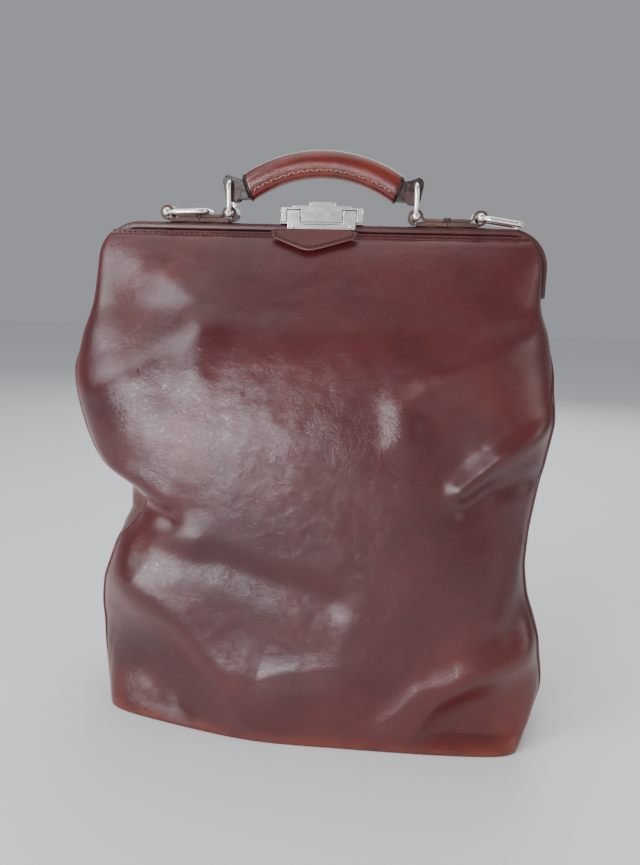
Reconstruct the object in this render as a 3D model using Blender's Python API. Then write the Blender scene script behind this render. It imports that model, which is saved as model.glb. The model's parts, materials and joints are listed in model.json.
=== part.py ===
"""A tall leather doctor bag: soft leather body on a hinged, leather-covered steel frame.

Metres, +Z up, front towards -Y. The origin is the middle of the flat base.
"""

from math import cos, pi, radians, sin, sqrt

import bmesh
import bpy
import numpy as np
from mathutils import Matrix, Vector

# ---- Driving dimensions ----
GAP = 0.0003
LEATHER = 0.0035

FRAME_HALF_WIDTH = 0.210
RAIL_TOP = 0.484
HINGE_Z = 0.410
CORNER_RADIUS = 0.036
RAIL_HEIGHT = 0.008
RAIL_DEPTH = 0.009
RAIL_FROM_MIDDLE = 0.0005
BAR_THICKNESS = 0.0018
BAR_DEPTH = 0.0056
LAYER_OFFSET = 0.0012
COVER_BOTTOM = HINGE_Z + 0.011
COVER_CHAMFER = 0.0018
LUG_RADIUS = 0.0065
HINGE_PIN_RADIUS = 0.0020
PIN_HEAD_RADIUS = 0.0042
PIN_HEAD_THICKNESS = 0.0014

# Half width and half depth of the leather body at each height.
WIDTHS = (
    (0.0, 0.213), (0.03, 0.227), (0.06, 0.229), (0.10, 0.223), (0.17, 0.207), (0.22, 0.207),
    (0.28, 0.221), (0.34, 0.230), (0.38, 0.2215), (0.403, 0.2125),
)
DEPTHS = (
    (0.0, 0.090), (0.05, 0.096), (0.20, 0.095), (0.28, 0.090), (0.34, 0.080), (0.38, 0.068),
    (0.403, 0.0575),
)
TOP_DEPTHS = ((0.408, 0.0500), (0.430, 0.0400), (0.450, 0.0300), (0.465, 0.0205), (0.4755, 0.0135))
BODY_ROWS = (0.0035, 0.03, 0.06, 0.10, 0.17, 0.22, 0.28, 0.31, 0.34, 0.38, 0.403)
TOP_ROWS = (0.408, 0.430, 0.450, 0.463, 0.4755)
SQUARENESS = 5.0
SEAM_ANGLE = radians(32)
SEAM_HALF_GAP = radians(0.25)
TOP_PANEL_HALF_WIDTH = 0.2065
TOP_PANEL_BACK = 0.0100
TOP_PANEL_THICKNESS = 0.0028

BASE_THICKNESS = 0.003
BOARD_THICKNESS = 0.003
BOARD_CLEARANCE = 0.001
LINING_THICKNESS = 0.0012
LINING_GAP = 0.0025
LINING_TOP = 0.385
LINING_CORNER = 0.004

LOCK_HALF_WIDTH = 0.038
LOCK_HALF_DEPTH = 0.0112
LOCK_BOTTOM = RAIL_TOP + 0.0023
LOCK_TOP = 0.4990
LOCK_STEP_HALF_WIDTH = 0.027
LOCK_STEP_TOP = 0.5008
LOCK_WALL = 0.0012
LOCK_SIDE_WALL = 0.0032
LOCK_PLATE_HALF_WIDTH = 0.039
LOCK_PLATE_HALF_DEPTH = 0.0092
NOTCH_CLEARANCE = 0.0005
SLOT_LEFT, SLOT_RIGHT, SLOT_HALF_DEPTH = -0.0058, 0.0118, 0.0030
STEM_HALF_WIDTH, STEM_HALF_DEPTH, STEM_BOTTOM = 0.005, 0.0024, 0.4960
BOLT_LOW, BOLT_HIGH = (-0.022, -0.0055, 0.4890), (0.020, 0.0040, 0.4957)
SPRING_HALF_LENGTH, SPRING_RISE, SPRING_THICKNESS = 0.018, 0.0018, 0.0005
SPRING_Y, SPRING_BOTTOM, SPRING_TOP = 0.0043, 0.4895, 0.4945
EAR_INNER = 0.0205
EAR_OUTER = 0.0320
EAR_TOP = 0.4965
HASP_BOTTOM = 0.4792
HASP_BAR_TOP = 0.4835
HASP_SLANT_TOP = 0.4858
HASP_BACK = -0.0100
HASP_FRONT = -0.0124
HASP_FOOT = 0.0155
RIVET_X, RIVET_Z, RIVET_RADIUS, RIVET_HEIGHT = 0.027, 0.4818, 0.0017, 0.0012
BUTTON_HALF_WIDTH = 0.012
BUTTON_HALF_DEPTH = 0.0062
BUTTON_TOP = 0.5050
BUTTON_BEVEL = 0.0006
RECESS_HALF_WIDTH, RECESS_HALF_DEPTH, RECESS_DEPTH = 0.008, 0.0038, 0.0005

TAB_MIDDLE_X = -0.004
TAB_HINGE = Vector((TAB_MIDDLE_X, -0.0172, 0.4782))
TAB_SLOPE = radians(32)
TAB_HALF_WIDTH = 0.040
TAB_LENGTH = 0.025
TAB_THICKNESS = 0.0016
TAB_BACKING_THICKNESS = 0.0012
TAB_BACKING_INSET = 0.0012
TAB_SHOULDER = 0.0110
TAB_CORNER = 0.006

PIVOT_Z = 0.4925
HANDLE_PIVOT_X = 0.0875
STRAP_PIVOT_X = 0.147
HANDLE_RING_RISE = 0.029
STRAP_RING_REACH = 0.038
WIRE_RADIUS = 0.0024
RING_HALF_SPAN = 0.0135
BALL_RADIUS = 0.0043
RING_BEND = 0.0065
RING_PIN_RADIUS = 0.0015
RING_PIN_CLEARANCE = 0.0004
CHAPE_HALF_DEPTH = 0.0095
CHAPE_LOOP_RADIUS = 0.0072
CHAPE_TOP = 0.4913
CHAPE_LOOP_END = 0.0085
TIE_INNER, TIE_OUTER, TIE_THICKNESS = 0.1135, 0.1205, 0.0005
TIE_BOTTOM = RAIL_TOP - 0.006

GRIP_HALF_CHORD = 0.072
GRIP_END_Z = 0.516
GRIP_SAGITTA = 0.023
GRIP_HALF_HEIGHT = 0.013
GRIP_HALF_DEPTH = 0.011
GRIP_WALL = 0.0022
GRIP_END_TILT = 0.62
GRIP_STATIONS = 17
GRIP_CORE_SHORTER = 0.001
LOOP_HALF_DEPTH = 0.0085
LOOP_RADIUS = 0.0066
TONGUE_RADIUS = 0.0050
TONGUE_OFFSET = 0.0030
TONGUE_Z = 0.5085
HANDLE_BORE_CLEARANCE = 0.0005
# Where the loop meets the grip's end face: distance inward from the ring, and height.
LOOP_FACE = ((0.0160, 0.5070), (0.0122, 0.5160), (0.0100, 0.5245))
CUT = 0.001


# ---- Materials ----
def material(name, colour, roughness, metallic=0.0):
    made = bpy.data.materials.new(name)
    made.use_nodes = True
    shader = made.node_tree.nodes["Principled BSDF"]
    shader.inputs["Base Color"].default_value = (*colour, 1.0)
    shader.inputs["Roughness"].default_value = roughness
    shader.inputs["Metallic"].default_value = metallic
    return made


# ---- Mesh helpers ----
def add_mesh(name, points, faces, finish, smooth=True):
    """One closed object from points and faces, with its faces turned outwards."""
    mesh = bpy.data.meshes.new(name)
    mesh.from_pydata([tuple(p) for p in points], [], faces)
    work = bmesh.new()
    work.from_mesh(mesh)
    bmesh.ops.recalc_face_normals(work, faces=work.faces)
    work.to_mesh(mesh)
    work.free()
    if smooth:
        mesh.shade_smooth()
        mesh.set_sharp_from_angle(angle=radians(40))
    obj = bpy.data.objects.new(name, mesh)
    obj.data.materials.append(finish)
    bpy.context.scene.collection.objects.link(obj)
    return obj


def shell(name, outer, inner, finish, wraps=False):
    """A thin closed body between two matching grids of points. wraps joins each row's ends."""
    rows = len(outer)
    columns = len(outer[0])
    points = [p for grid in (outer, inner) for row in grid for p in row]
    half = rows * columns

    def at(side, i, j):
        return side * half + i * columns + j % columns

    faces = []
    spans = columns if wraps else columns - 1
    for i in range(rows - 1):
        for j in range(spans):
            for side in (0, 1):
                near, far = (at(side, i, j), at(side, i, j + 1)), (at(side, i + 1, j + 1), at(side, i + 1, j))
                faces.append((*near, *far))
    for i in (0, rows - 1):
        for j in range(spans):
            faces.append((at(0, i, j), at(0, i, j + 1), at(1, i, j + 1), at(1, i, j)))
    if not wraps:
        for j in (0, columns - 1):
            for i in range(rows - 1):
                faces.append((at(0, i, j), at(0, i + 1, j), at(1, i + 1, j), at(1, i, j)))
    return add_mesh(name, points, faces, finish)


def loft(name, rings, finish, smooth=True):
    """A solid through closed rings of matching points, capped at both ends."""
    count = len(rings[0])
    points = [p for ring in rings for p in ring]
    faces = []
    for i in range(len(rings) - 1):
        for j in range(count):
            k = (j + 1) % count
            faces.append((i * count + j, i * count + k, (i + 1) * count + k, (i + 1) * count + j))
    faces.append(tuple(range(count)))
    faces.append(tuple(range((len(rings) - 1) * count, len(rings) * count)))
    return add_mesh(name, points, faces, finish, smooth)


def prism(name, outline, axis, low, high, finish, smooth=True):
    """An outline of (u, v) pairs extruded along axis: u, v are the other two axes in order."""
    def place(u, v, w):
        return {"X": (w, u, v), "Y": (u, w, v), "Z": (u, v, w)}[axis]

    return loft(name, [[place(u, v, w) for u, v in outline] for w in (low, high)], finish, smooth)


def block(name, low, high, finish):
    corners = ((low[0], low[1]), (high[0], low[1]), (high[0], high[1]), (low[0], high[1]))
    return prism(name, corners, "Z", low[2], high[2], finish, smooth=False)


def arc(centre, radius, start, end, steps):
    """Points along an arc in degrees, both ends included."""
    angles = [radians(start + (end - start) * i / steps) for i in range(steps + 1)]
    return [(centre[0] + radius * cos(a), centre[1] + radius * sin(a)) for a in angles]


def rod(name, centre, radius, low, high, axis, finish, sides=12):
    """A round bar along axis through centre, given as the two other coordinates in order."""
    outline = arc(centre, radius, 0, 360 - 360 / sides, sides - 1)
    return prism(name, outline, axis, low, high, finish)


def combine(obj, other, operation):
    """Applies a Boolean with other and removes it."""
    modifier = obj.modifiers.new(operation.title(), "BOOLEAN")
    modifier.operation = operation
    modifier.solver = "EXACT"
    modifier.object = other
    bpy.context.view_layer.update()
    graph = bpy.context.evaluated_depsgraph_get()
    mesh = bpy.data.meshes.new_from_object(obj.evaluated_get(graph))
    obj.modifiers.clear()
    obj.data = mesh
    bpy.data.objects.remove(other)
    return obj


def set_origin(obj, point):
    """Moves the object's origin to a world point and leaves its shape where it is."""
    obj.data.transform(Matrix.Translation(-Vector(point)))
    obj.location = point


def ride_on(pivot, *pieces):
    """Parents pieces to an empty on their joint, keeping them in place."""
    bpy.context.view_layer.update()
    for piece in pieces:
        piece.parent = pivot
        piece.matrix_parent_inverse = pivot.matrix_world.inverted()


def pivot_at(name, point, parent=None):
    empty = bpy.data.objects.new(name, None)
    bpy.context.scene.collection.objects.link(empty)
    empty.location = point
    empty.empty_display_size = 0.02
    if parent is not None:
        ride_on(parent, empty)
    return empty


# ---- Leather body ----
def at_height(stations, z):
    return float(np.interp(z, [s[0] for s in stations], [s[1] for s in stations]))


def plan(angle):
    """A rounded rectangle of half sides 1: the point of its edge in this direction."""
    c, s = cos(angle), sin(angle)
    reach = (abs(c) ** SQUARENESS + abs(s) ** SQUARENESS) ** (-1 / SQUARENESS)
    return c * reach, s * reach


def body_point(angle, z, inset=0.0):
    x, y = plan(angle)
    return ((at_height(WIDTHS, z) - inset) * x, (at_height(DEPTHS, z) - inset) * y, z)


def body_wall(name, start, end, columns, finish):
    """One leather panel of the lower body, between two directions seen from above."""
    angles = [start + (end - start) * i / columns for i in range(columns + 1)]
    grids = [[[body_point(a, z, inset) for a in angles] for z in BODY_ROWS] for inset in (0.0, LEATHER)]
    return shell(name, *grids, finish)


def top_half_width(z, inset):
    """Half width of the leather in front of the frame, following its rounded corners."""
    centre = RAIL_TOP - CORNER_RADIUS
    straight = TOP_PANEL_HALF_WIDTH - inset
    if z <= centre:
        return straight
    return straight - CORNER_RADIUS + sqrt(CORNER_RADIUS**2 - (z - centre) ** 2)


def top_point(angle, z, side, inset=0.0):
    x, y = plan(angle)
    depth = at_height(TOP_DEPTHS, z) - inset - TOP_PANEL_BACK
    return (top_half_width(z, inset) * x, side * (TOP_PANEL_BACK + depth * abs(y)), z)


def top_wall(name, side, finish, columns=20):
    """The leather between one jaw and the hinge line. side is -1 in front, 1 behind."""
    angles = [side * pi * i / columns for i in range(columns + 1)]
    grids = [
        [[top_point(a, z, side, inset) for a in angles] for z in TOP_ROWS]
        for inset in (0.0, TOP_PANEL_THICKNESS)
    ]
    return shell(name, *grids, finish)


def plan_outline(z, inset, count=44):
    return [body_point(2 * pi * i / count, z, inset)[:2] for i in range(count)]


def make_body(leather, board, fabric):
    lower, upper = SEAM_ANGLE + SEAM_HALF_GAP, SEAM_ANGLE - SEAM_HALF_GAP
    body_wall("front_panel", -pi + lower, -lower, 18, leather)
    body_wall("back_panel", lower, pi - lower, 18, leather)
    body_wall("right_gusset", -upper, upper, 6, leather)
    body_wall("left_gusset", pi - upper, pi + upper, 6, leather)
    prism("base_panel", plan_outline(0.0, 0.0), "Z", 0.0, BASE_THICKNESS, leather)
    board_bottom = BASE_THICKNESS + GAP
    board_inset = LEATHER + BOARD_CLEARANCE
    board_top = board_bottom + BOARD_THICKNESS
    prism("base_board", plan_outline(0.0, board_inset), "Z", board_bottom, board_top, board)
    lining(board_top + GAP, fabric)


def lining(bottom, fabric, count=44):
    """The fabric bag inside: one cup, open at its top."""
    first = bottom + LINING_CORNER
    heights = [first, *[z for z in BODY_ROWS if first < z < LINING_TOP], LINING_TOP]
    outside = LEATHER + LINING_GAP
    angles = [2 * pi * i / count for i in range(count)]

    def ring(z, inset):
        return [body_point(a, z, inset) for a in angles]

    def floor(z, inset):
        return [(x, y, z) for x, y, _ in ring(first, inset)]

    outer = [floor(bottom, outside + LINING_CORNER)] + [ring(z, outside) for z in heights]
    inside = outside + LINING_THICKNESS
    inner = [ring(z, inside) for z in reversed(heights)]
    inner += [floor(bottom + LINING_THICKNESS, inside + LINING_CORNER)]
    return loft("lining", outer + inner, fabric)


# ---- Hinged frame ----
def u_path(half_width, top, bottom):
    """The frame's upside-down U in the XZ plane, as points from one arm's end to the other's."""
    radius = CORNER_RADIUS - RAIL_HEIGHT / 2
    reach = half_width - radius
    level = top - radius
    left = arc((-reach, level), radius, 180, 90, 5)
    right = arc((reach, level), radius, 90, 0, 5)
    return [(-half_width, bottom), *left, *right, (half_width, bottom)]


def swept(path, section):
    """The section's rings along a flat XZ path: u is across the path, v along Y."""
    rings = []
    for i, (x, z) in enumerate(path):
        before = path[max(i - 1, 0)]
        after = path[min(i + 1, len(path) - 1)]
        run = Vector((after[0] - before[0], after[1] - before[1])).normalized()
        mitre = 1.0
        if 0 < i < len(path) - 1:
            first = Vector((x - before[0], z - before[1])).normalized()
            mitre = 1 / max(first.dot(run), 0.5)
        rings.append([(x - run.y * u * mitre, v, z + run.x * u * mitre) for u, v in section])
    return rings


def rounded_section(half_u, half_v, cut, middle_v):
    right = ((half_u, half_v - cut), (half_u - cut, half_v))
    left = ((cut - half_u, half_v), (-half_u, half_v - cut))
    loop = [*right, *left, *[(-u, -v) for u, v in right + left]]
    return [(u, v + middle_v) for u, v in loop]


def jaw(name, side, steel, leather):
    """One jaw: a flat steel bar with a lug at each end, inside a leather cover."""
    middle_y = side * (RAIL_FROM_MIDDLE + RAIL_DEPTH / 2)
    half_width = FRAME_HALF_WIDTH - RAIL_HEIGHT / 2 - side * LAYER_OFFSET
    top = RAIL_TOP - RAIL_HEIGHT / 2
    half_thick = BAR_THICKNESS / 2
    half_deep = BAR_DEPTH / 2
    front, back = middle_y - half_deep, middle_y + half_deep
    section = [(-half_thick, front), (half_thick, front), (half_thick, back), (-half_thick, back)]
    bar = loft(f"{name}_jaw_bar", swept(u_path(half_width, top, HINGE_Z), section), steel, False)
    hinge = (0.0, HINGE_Z)
    for end in (-1, 1):
        faces = sorted((end * (half_width - half_thick), end * (half_width + half_thick)))
        lug = rod("lug", hinge, LUG_RADIUS, *faces, "X", steel, 16)
        combine(bar, lug, "UNION")
        hole = rod("hole", hinge, HINGE_PIN_RADIUS + GAP, faces[0] - CUT, faces[1] + CUT, "X", steel)
        combine(bar, hole, "DIFFERENCE")
    path = u_path(half_width, top, COVER_BOTTOM)
    outer = rounded_section(RAIL_HEIGHT / 2, RAIL_DEPTH / 2, COVER_CHAMFER, middle_y)
    inner = rounded_section(half_thick + GAP, half_deep + GAP, 0.0002, middle_y)
    cover = shell(f"{name}_jaw_cover", swept(path, outer), swept(path, inner), leather, wraps=True)
    return bar, cover


def hinge_pin(name, end, steel):
    """A rivet through both jaws' lugs, with a flat head at each side."""
    middle = end * (FRAME_HALF_WIDTH - RAIL_HEIGHT / 2)
    reach = LAYER_OFFSET + BAR_THICKNESS / 2 + GAP
    hinge = (0.0, HINGE_Z)
    shank_end = reach + PIN_HEAD_THICKNESS / 2
    pin = rod(name, hinge, HINGE_PIN_RADIUS, middle - shank_end, middle + shank_end, "X", steel)
    for side in (-1, 1):
        faces = sorted((middle + side * reach, middle + side * (reach + PIN_HEAD_THICKNESS)))
        combine(pin, rod("head", hinge, PIN_HEAD_RADIUS, *faces, "X", steel, 14), "UNION")
    set_origin(pin, (middle, 0.0, HINGE_Z))
    return pin


# ---- Lock ----
def lock_case(nickel):
    """A stepped box, open below, with two front notches for the hasp and a slot for the button."""
    step, wide = LOCK_STEP_HALF_WIDTH, LOCK_HALF_WIDTH
    bottom, top, high = LOCK_BOTTOM, LOCK_TOP, LOCK_STEP_TOP
    outline = [(-wide, bottom), (wide, bottom), (wide, top), (step, top), (step, high)]
    outline += [(-step, high), (-step, top), (-wide, top)]
    case = prism("lock_case", outline, "Y", -LOCK_HALF_DEPTH, LOCK_HALF_DEPTH, nickel, smooth=False)
    inner_x, inner_y = wide - LOCK_WALL, LOCK_HALF_DEPTH - LOCK_SIDE_WALL
    cavity_top = (inner_x, inner_y, top - LOCK_WALL)
    cavity = block("cavity", (-inner_x, -inner_y, bottom - CUT), cavity_top, nickel)
    combine(case, cavity, "DIFFERENCE")
    slot_low = (SLOT_LEFT, -SLOT_HALF_DEPTH, top - LOCK_WALL - CUT)
    slot = block("slot", slot_low, (SLOT_RIGHT, SLOT_HALF_DEPTH, high + CUT), nickel)
    combine(case, slot, "DIFFERENCE")
    for end in (-1, 1):
        sides = sorted((end * (EAR_INNER - NOTCH_CLEARANCE), end * (EAR_OUTER + NOTCH_CLEARANCE)))
        low = (sides[0], -LOCK_HALF_DEPTH - CUT, bottom - CUT)
        high_corner = (sides[1], HASP_BACK + NOTCH_CLEARANCE, EAR_TOP + NOTCH_CLEARANCE)
        notch = block("notch", low, high_corner, nickel)
        combine(case, notch, "DIFFERENCE")
    return case


def slide_button(nickel):
    """The release plate on top of the lock, with its stem through the slot."""
    low, wide, bevel = LOCK_STEP_TOP + GAP, BUTTON_HALF_WIDTH, BUTTON_BEVEL
    outline = [(-wide, low), (wide, low), (wide, BUTTON_TOP - bevel), (wide - bevel, BUTTON_TOP)]
    outline += [(bevel - wide, BUTTON_TOP), (-wide, BUTTON_TOP - bevel)]
    depth = BUTTON_HALF_DEPTH
    button = prism("slide_button", outline, "Y", -depth, depth, nickel, smooth=False)
    stem_low = (-STEM_HALF_WIDTH, -STEM_HALF_DEPTH, STEM_BOTTOM)
    stem = block("stem", stem_low, (STEM_HALF_WIDTH, STEM_HALF_DEPTH, low + CUT), nickel)
    combine(button, stem, "UNION")
    recess_low = (-RECESS_HALF_WIDTH, -RECESS_HALF_DEPTH, BUTTON_TOP - RECESS_DEPTH)
    recess_high = (RECESS_HALF_WIDTH, RECESS_HALF_DEPTH, BUTTON_TOP + CUT)
    return combine(button, block("recess", recess_low, recess_high, nickel), "DIFFERENCE")


def make_lock(nickel, steel):
    wide, deep = LOCK_PLATE_HALF_WIDTH, LOCK_PLATE_HALF_DEPTH
    low, high = (-wide, -deep, RAIL_TOP + GAP), (wide, deep, LOCK_BOTTOM - GAP)
    plate = block("lock_base_plate", low, high, steel)
    case = lock_case(nickel)
    button = slide_button(nickel)
    bolt = block("lock_bolt", BOLT_LOW, BOLT_HIGH, steel)
    bow = [(SPRING_HALF_LENGTH * u, SPRING_Y + SPRING_RISE * v) for u, v in arc((0.0, 0.0), 1.0, 180, 0, 8)]
    outline = bow + [(x, y + SPRING_THICKNESS) for x, y in reversed(bow)]
    spring = prism("lock_spring", outline, "Z", SPRING_BOTTOM, SPRING_TOP, steel)
    return plate, case, button, bolt, spring


def hasp(nickel, steel):
    """The catch plate on the front jaw: a low bar with an upright ear at each end."""
    half = [(EAR_OUTER, HASP_BOTTOM), (EAR_OUTER, EAR_TOP), (EAR_INNER, EAR_TOP)]
    half += [(EAR_INNER, HASP_SLANT_TOP), (HASP_FOOT, HASP_BAR_TOP)]
    outline = half + [(-x, z) for x, z in reversed(half)]
    plate = prism("hasp_plate", outline, "Y", HASP_FRONT, HASP_BACK, nickel, smooth=False)
    rivets = []
    for end, side in ((-1, "left"), (1, "right")):
        centre, ends = (end * RIVET_X, RIVET_Z), (HASP_FRONT - RIVET_HEIGHT, HASP_FRONT - GAP)
        rivets.append(rod(f"hasp_rivet_{side}", centre, RIVET_RADIUS, *ends, "Y", steel))
    return [plate, *rivets]


# ---- Pull tab ----
def tab_layer(name, inset, front, back, leather):
    """One layer of the pointed tab, hanging along its slope. It is drawn about its hinge line."""
    wide, tip = TAB_HALF_WIDTH - inset, inset - TAB_LENGTH
    side = [(0.93 * wide, -inset), (wide, -TAB_CORNER), (0.95 * wide, -TAB_SHOULDER)]
    outline = side + arc((0.0, tip + TAB_CORNER), TAB_CORNER, -66, -114, 4)
    outline += [(-u, v) for u, v in reversed(side)]
    layer = prism(name, outline, "Y", front, back, leather)
    layer.data.transform(Matrix.Rotation(-TAB_SLOPE, 4, "X"))
    layer.location = TAB_HINGE
    return layer


# ---- Rings, chapes and handle ----
def wire_ring(name, pivot, toward, reach, nickel):
    """A U of round wire with a bored ball at each foot. toward is its direction in the XZ plane."""
    bend, span = RING_BEND, RING_HALF_SPAN
    corner = arc((bend - span, reach - bend), bend, 180, 90, 4)
    legs = [(-span, BALL_RADIUS - WIRE_RADIUS), (-span, 0.35 * reach), *corner]
    path = legs + [(-u, v) for u, v in reversed(legs)]
    along = Vector((toward[0], 0.0, toward[1])).normalized()
    across = Vector((0.0, 1.0, 0.0))
    out = along.cross(across)
    rings = []
    for i, (u, v) in enumerate(path):
        before = path[max(i - 1, 0)]
        after = path[min(i + 1, len(path) - 1)]
        run = Vector((after[0] - before[0], after[1] - before[1])).normalized()
        side = across * -run.y + along * run.x
        centre = Vector(pivot) + across * u + along * v
        turns = [2 * pi * k / 8 for k in range(8)]
        rings.append([centre + (side * cos(t) + out * sin(t)) * WIRE_RADIUS for t in turns])
    ring = loft(name, rings, nickel)
    for end in (-1, 1):
        combine(ring, ball("ball", Vector(pivot) + across * (end * span), nickel), "UNION")
    half_length = RING_HALF_SPAN + 2 * BALL_RADIUS
    bore_radius = RING_PIN_RADIUS + RING_PIN_CLEARANCE
    bore = rod("bore", (pivot[0], pivot[2]), bore_radius, -half_length, half_length, "Y", nickel, 8)
    combine(ring, bore, "DIFFERENCE")
    set_origin(ring, pivot)
    return ring


def ball(name, centre, finish):
    mesh = bpy.data.meshes.new(name)
    work = bmesh.new()
    bmesh.ops.create_uvsphere(work, u_segments=12, v_segments=8, radius=BALL_RADIUS)
    bmesh.ops.translate(work, verts=work.verts, vec=centre)
    work.to_mesh(mesh)
    work.free()
    obj = bpy.data.objects.new(name, mesh)
    obj.data.materials.append(finish)
    bpy.context.scene.collection.objects.link(obj)
    return obj


def ring_pin(name, x, nickel):
    end = RING_HALF_SPAN + BALL_RADIUS
    pin = rod(name, (x, PIVOT_Z), RING_PIN_RADIUS, -end, end, "Y", nickel, 8)
    set_origin(pin, (x, 0.0, PIVOT_Z))
    return pin


def chape(name, end, leather):
    """A folded strap that lies on the rail, with a loop at each end for a ring's pin."""
    inner, outer = HANDLE_PIVOT_X, STRAP_PIVOT_X
    outline = arc((inner, PIVOT_Z), CHAPE_LOOP_RADIUS, 270, 60, 9)
    outline += [(inner + CHAPE_LOOP_END, CHAPE_TOP), (outer - CHAPE_LOOP_END, CHAPE_TOP)]
    outline += arc((outer, PIVOT_Z), CHAPE_LOOP_RADIUS, 120, -90, 9)
    outline = [(end * x, z) for x, z in outline]
    strap = prism(name, outline, "Y", -CHAPE_HALF_DEPTH, CHAPE_HALF_DEPTH, leather)
    for x in (inner, outer):
        bore_radius, depth = RING_PIN_RADIUS + RING_PIN_CLEARANCE, 2 * CHAPE_HALF_DEPTH
        bore = rod("bore", (end * x, PIVOT_Z), bore_radius, -depth, depth, "Y", leather, 8)
        combine(strap, bore, "DIFFERENCE")
    return strap


def chape_tie(name, end, thread):
    """The stitched thread that ties the chape down to the rear rail."""
    over, thick = CHAPE_TOP + GAP, TIE_THICKNESS
    front, back = -CHAPE_HALF_DEPTH, CHAPE_HALF_DEPTH + TIE_THICKNESS
    outline = [(front, over), (back, over), (back, TIE_BOTTOM), (back + thick, TIE_BOTTOM)]
    outline += [(back + thick, over + thick), (front, over + thick)]
    sides = sorted((end * TIE_INNER, end * TIE_OUTER))
    return prism(name, outline, "X", *sides, thread, smooth=False)


def grip_rings(half_height, half_depth, shorten=0.0, sides=12):
    """Oval rings along the handle's arch, its end faces leaning less than the arch does."""
    radius = (GRIP_HALF_CHORD**2 + GRIP_SAGITTA**2) / (2 * GRIP_SAGITTA)
    centre_z = GRIP_END_Z + GRIP_SAGITTA - radius
    limit = np.arcsin((GRIP_HALF_CHORD - shorten) / radius)
    rings = []
    for i in range(GRIP_STATIONS):
        turn = limit * (2 * i / (GRIP_STATIONS - 1) - 1)
        lean = turn * (1 - (1 - GRIP_END_TILT) * (turn / limit) ** 2)
        x, z = radius * sin(turn), centre_z + radius * cos(turn)
        ring = []
        for k in range(sides):
            a = 2 * pi * (k + 0.5) / sides
            up, out = half_height * cos(a), half_depth * sin(a)
            ring.append((x + up * sin(lean), out, z + up * cos(lean)))
        rings.append(ring)
    return rings


def handle_loop(name, end, leather):
    """The strap round the ring's top bar, with its tongue hanging beside the ring."""
    x, z = HANDLE_PIVOT_X, PIVOT_Z + HANDLE_RING_RISE
    outline = arc((x, z), LOOP_RADIUS, 75, -20, 6)
    outline += arc((x - TONGUE_OFFSET, TONGUE_Z), TONGUE_RADIUS, 0, -150, 6)
    outline += [(x - inward, height) for inward, height in LOOP_FACE]
    outline = [(end * u, v) for u, v in outline]
    loop = prism(name, outline, "Y", -LOOP_HALF_DEPTH, LOOP_HALF_DEPTH, leather)
    depth = 2 * LOOP_HALF_DEPTH
    bore = rod("bore", (end * x, z), WIRE_RADIUS + HANDLE_BORE_CLEARANCE, -depth, depth, "Y", leather, 10)
    return combine(loop, bore, "DIFFERENCE")


def make_handle(grip_leather, dark_leather, rope):
    outer = grip_rings(GRIP_HALF_HEIGHT, GRIP_HALF_DEPTH)
    inner = grip_rings(GRIP_HALF_HEIGHT - GRIP_WALL, GRIP_HALF_DEPTH - GRIP_WALL)
    grip = shell("handle_grip", outer, inner, grip_leather, wraps=True)
    inset = GRIP_WALL + GAP
    core_rings = grip_rings(GRIP_HALF_HEIGHT - inset, GRIP_HALF_DEPTH - inset, GRIP_CORE_SHORTER)
    core = loft("handle_core", core_rings, rope)
    left = handle_loop("handle_loop_left", -1, dark_leather)
    right = handle_loop("handle_loop_right", 1, dark_leather)
    return [grip, core, left, right]


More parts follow.
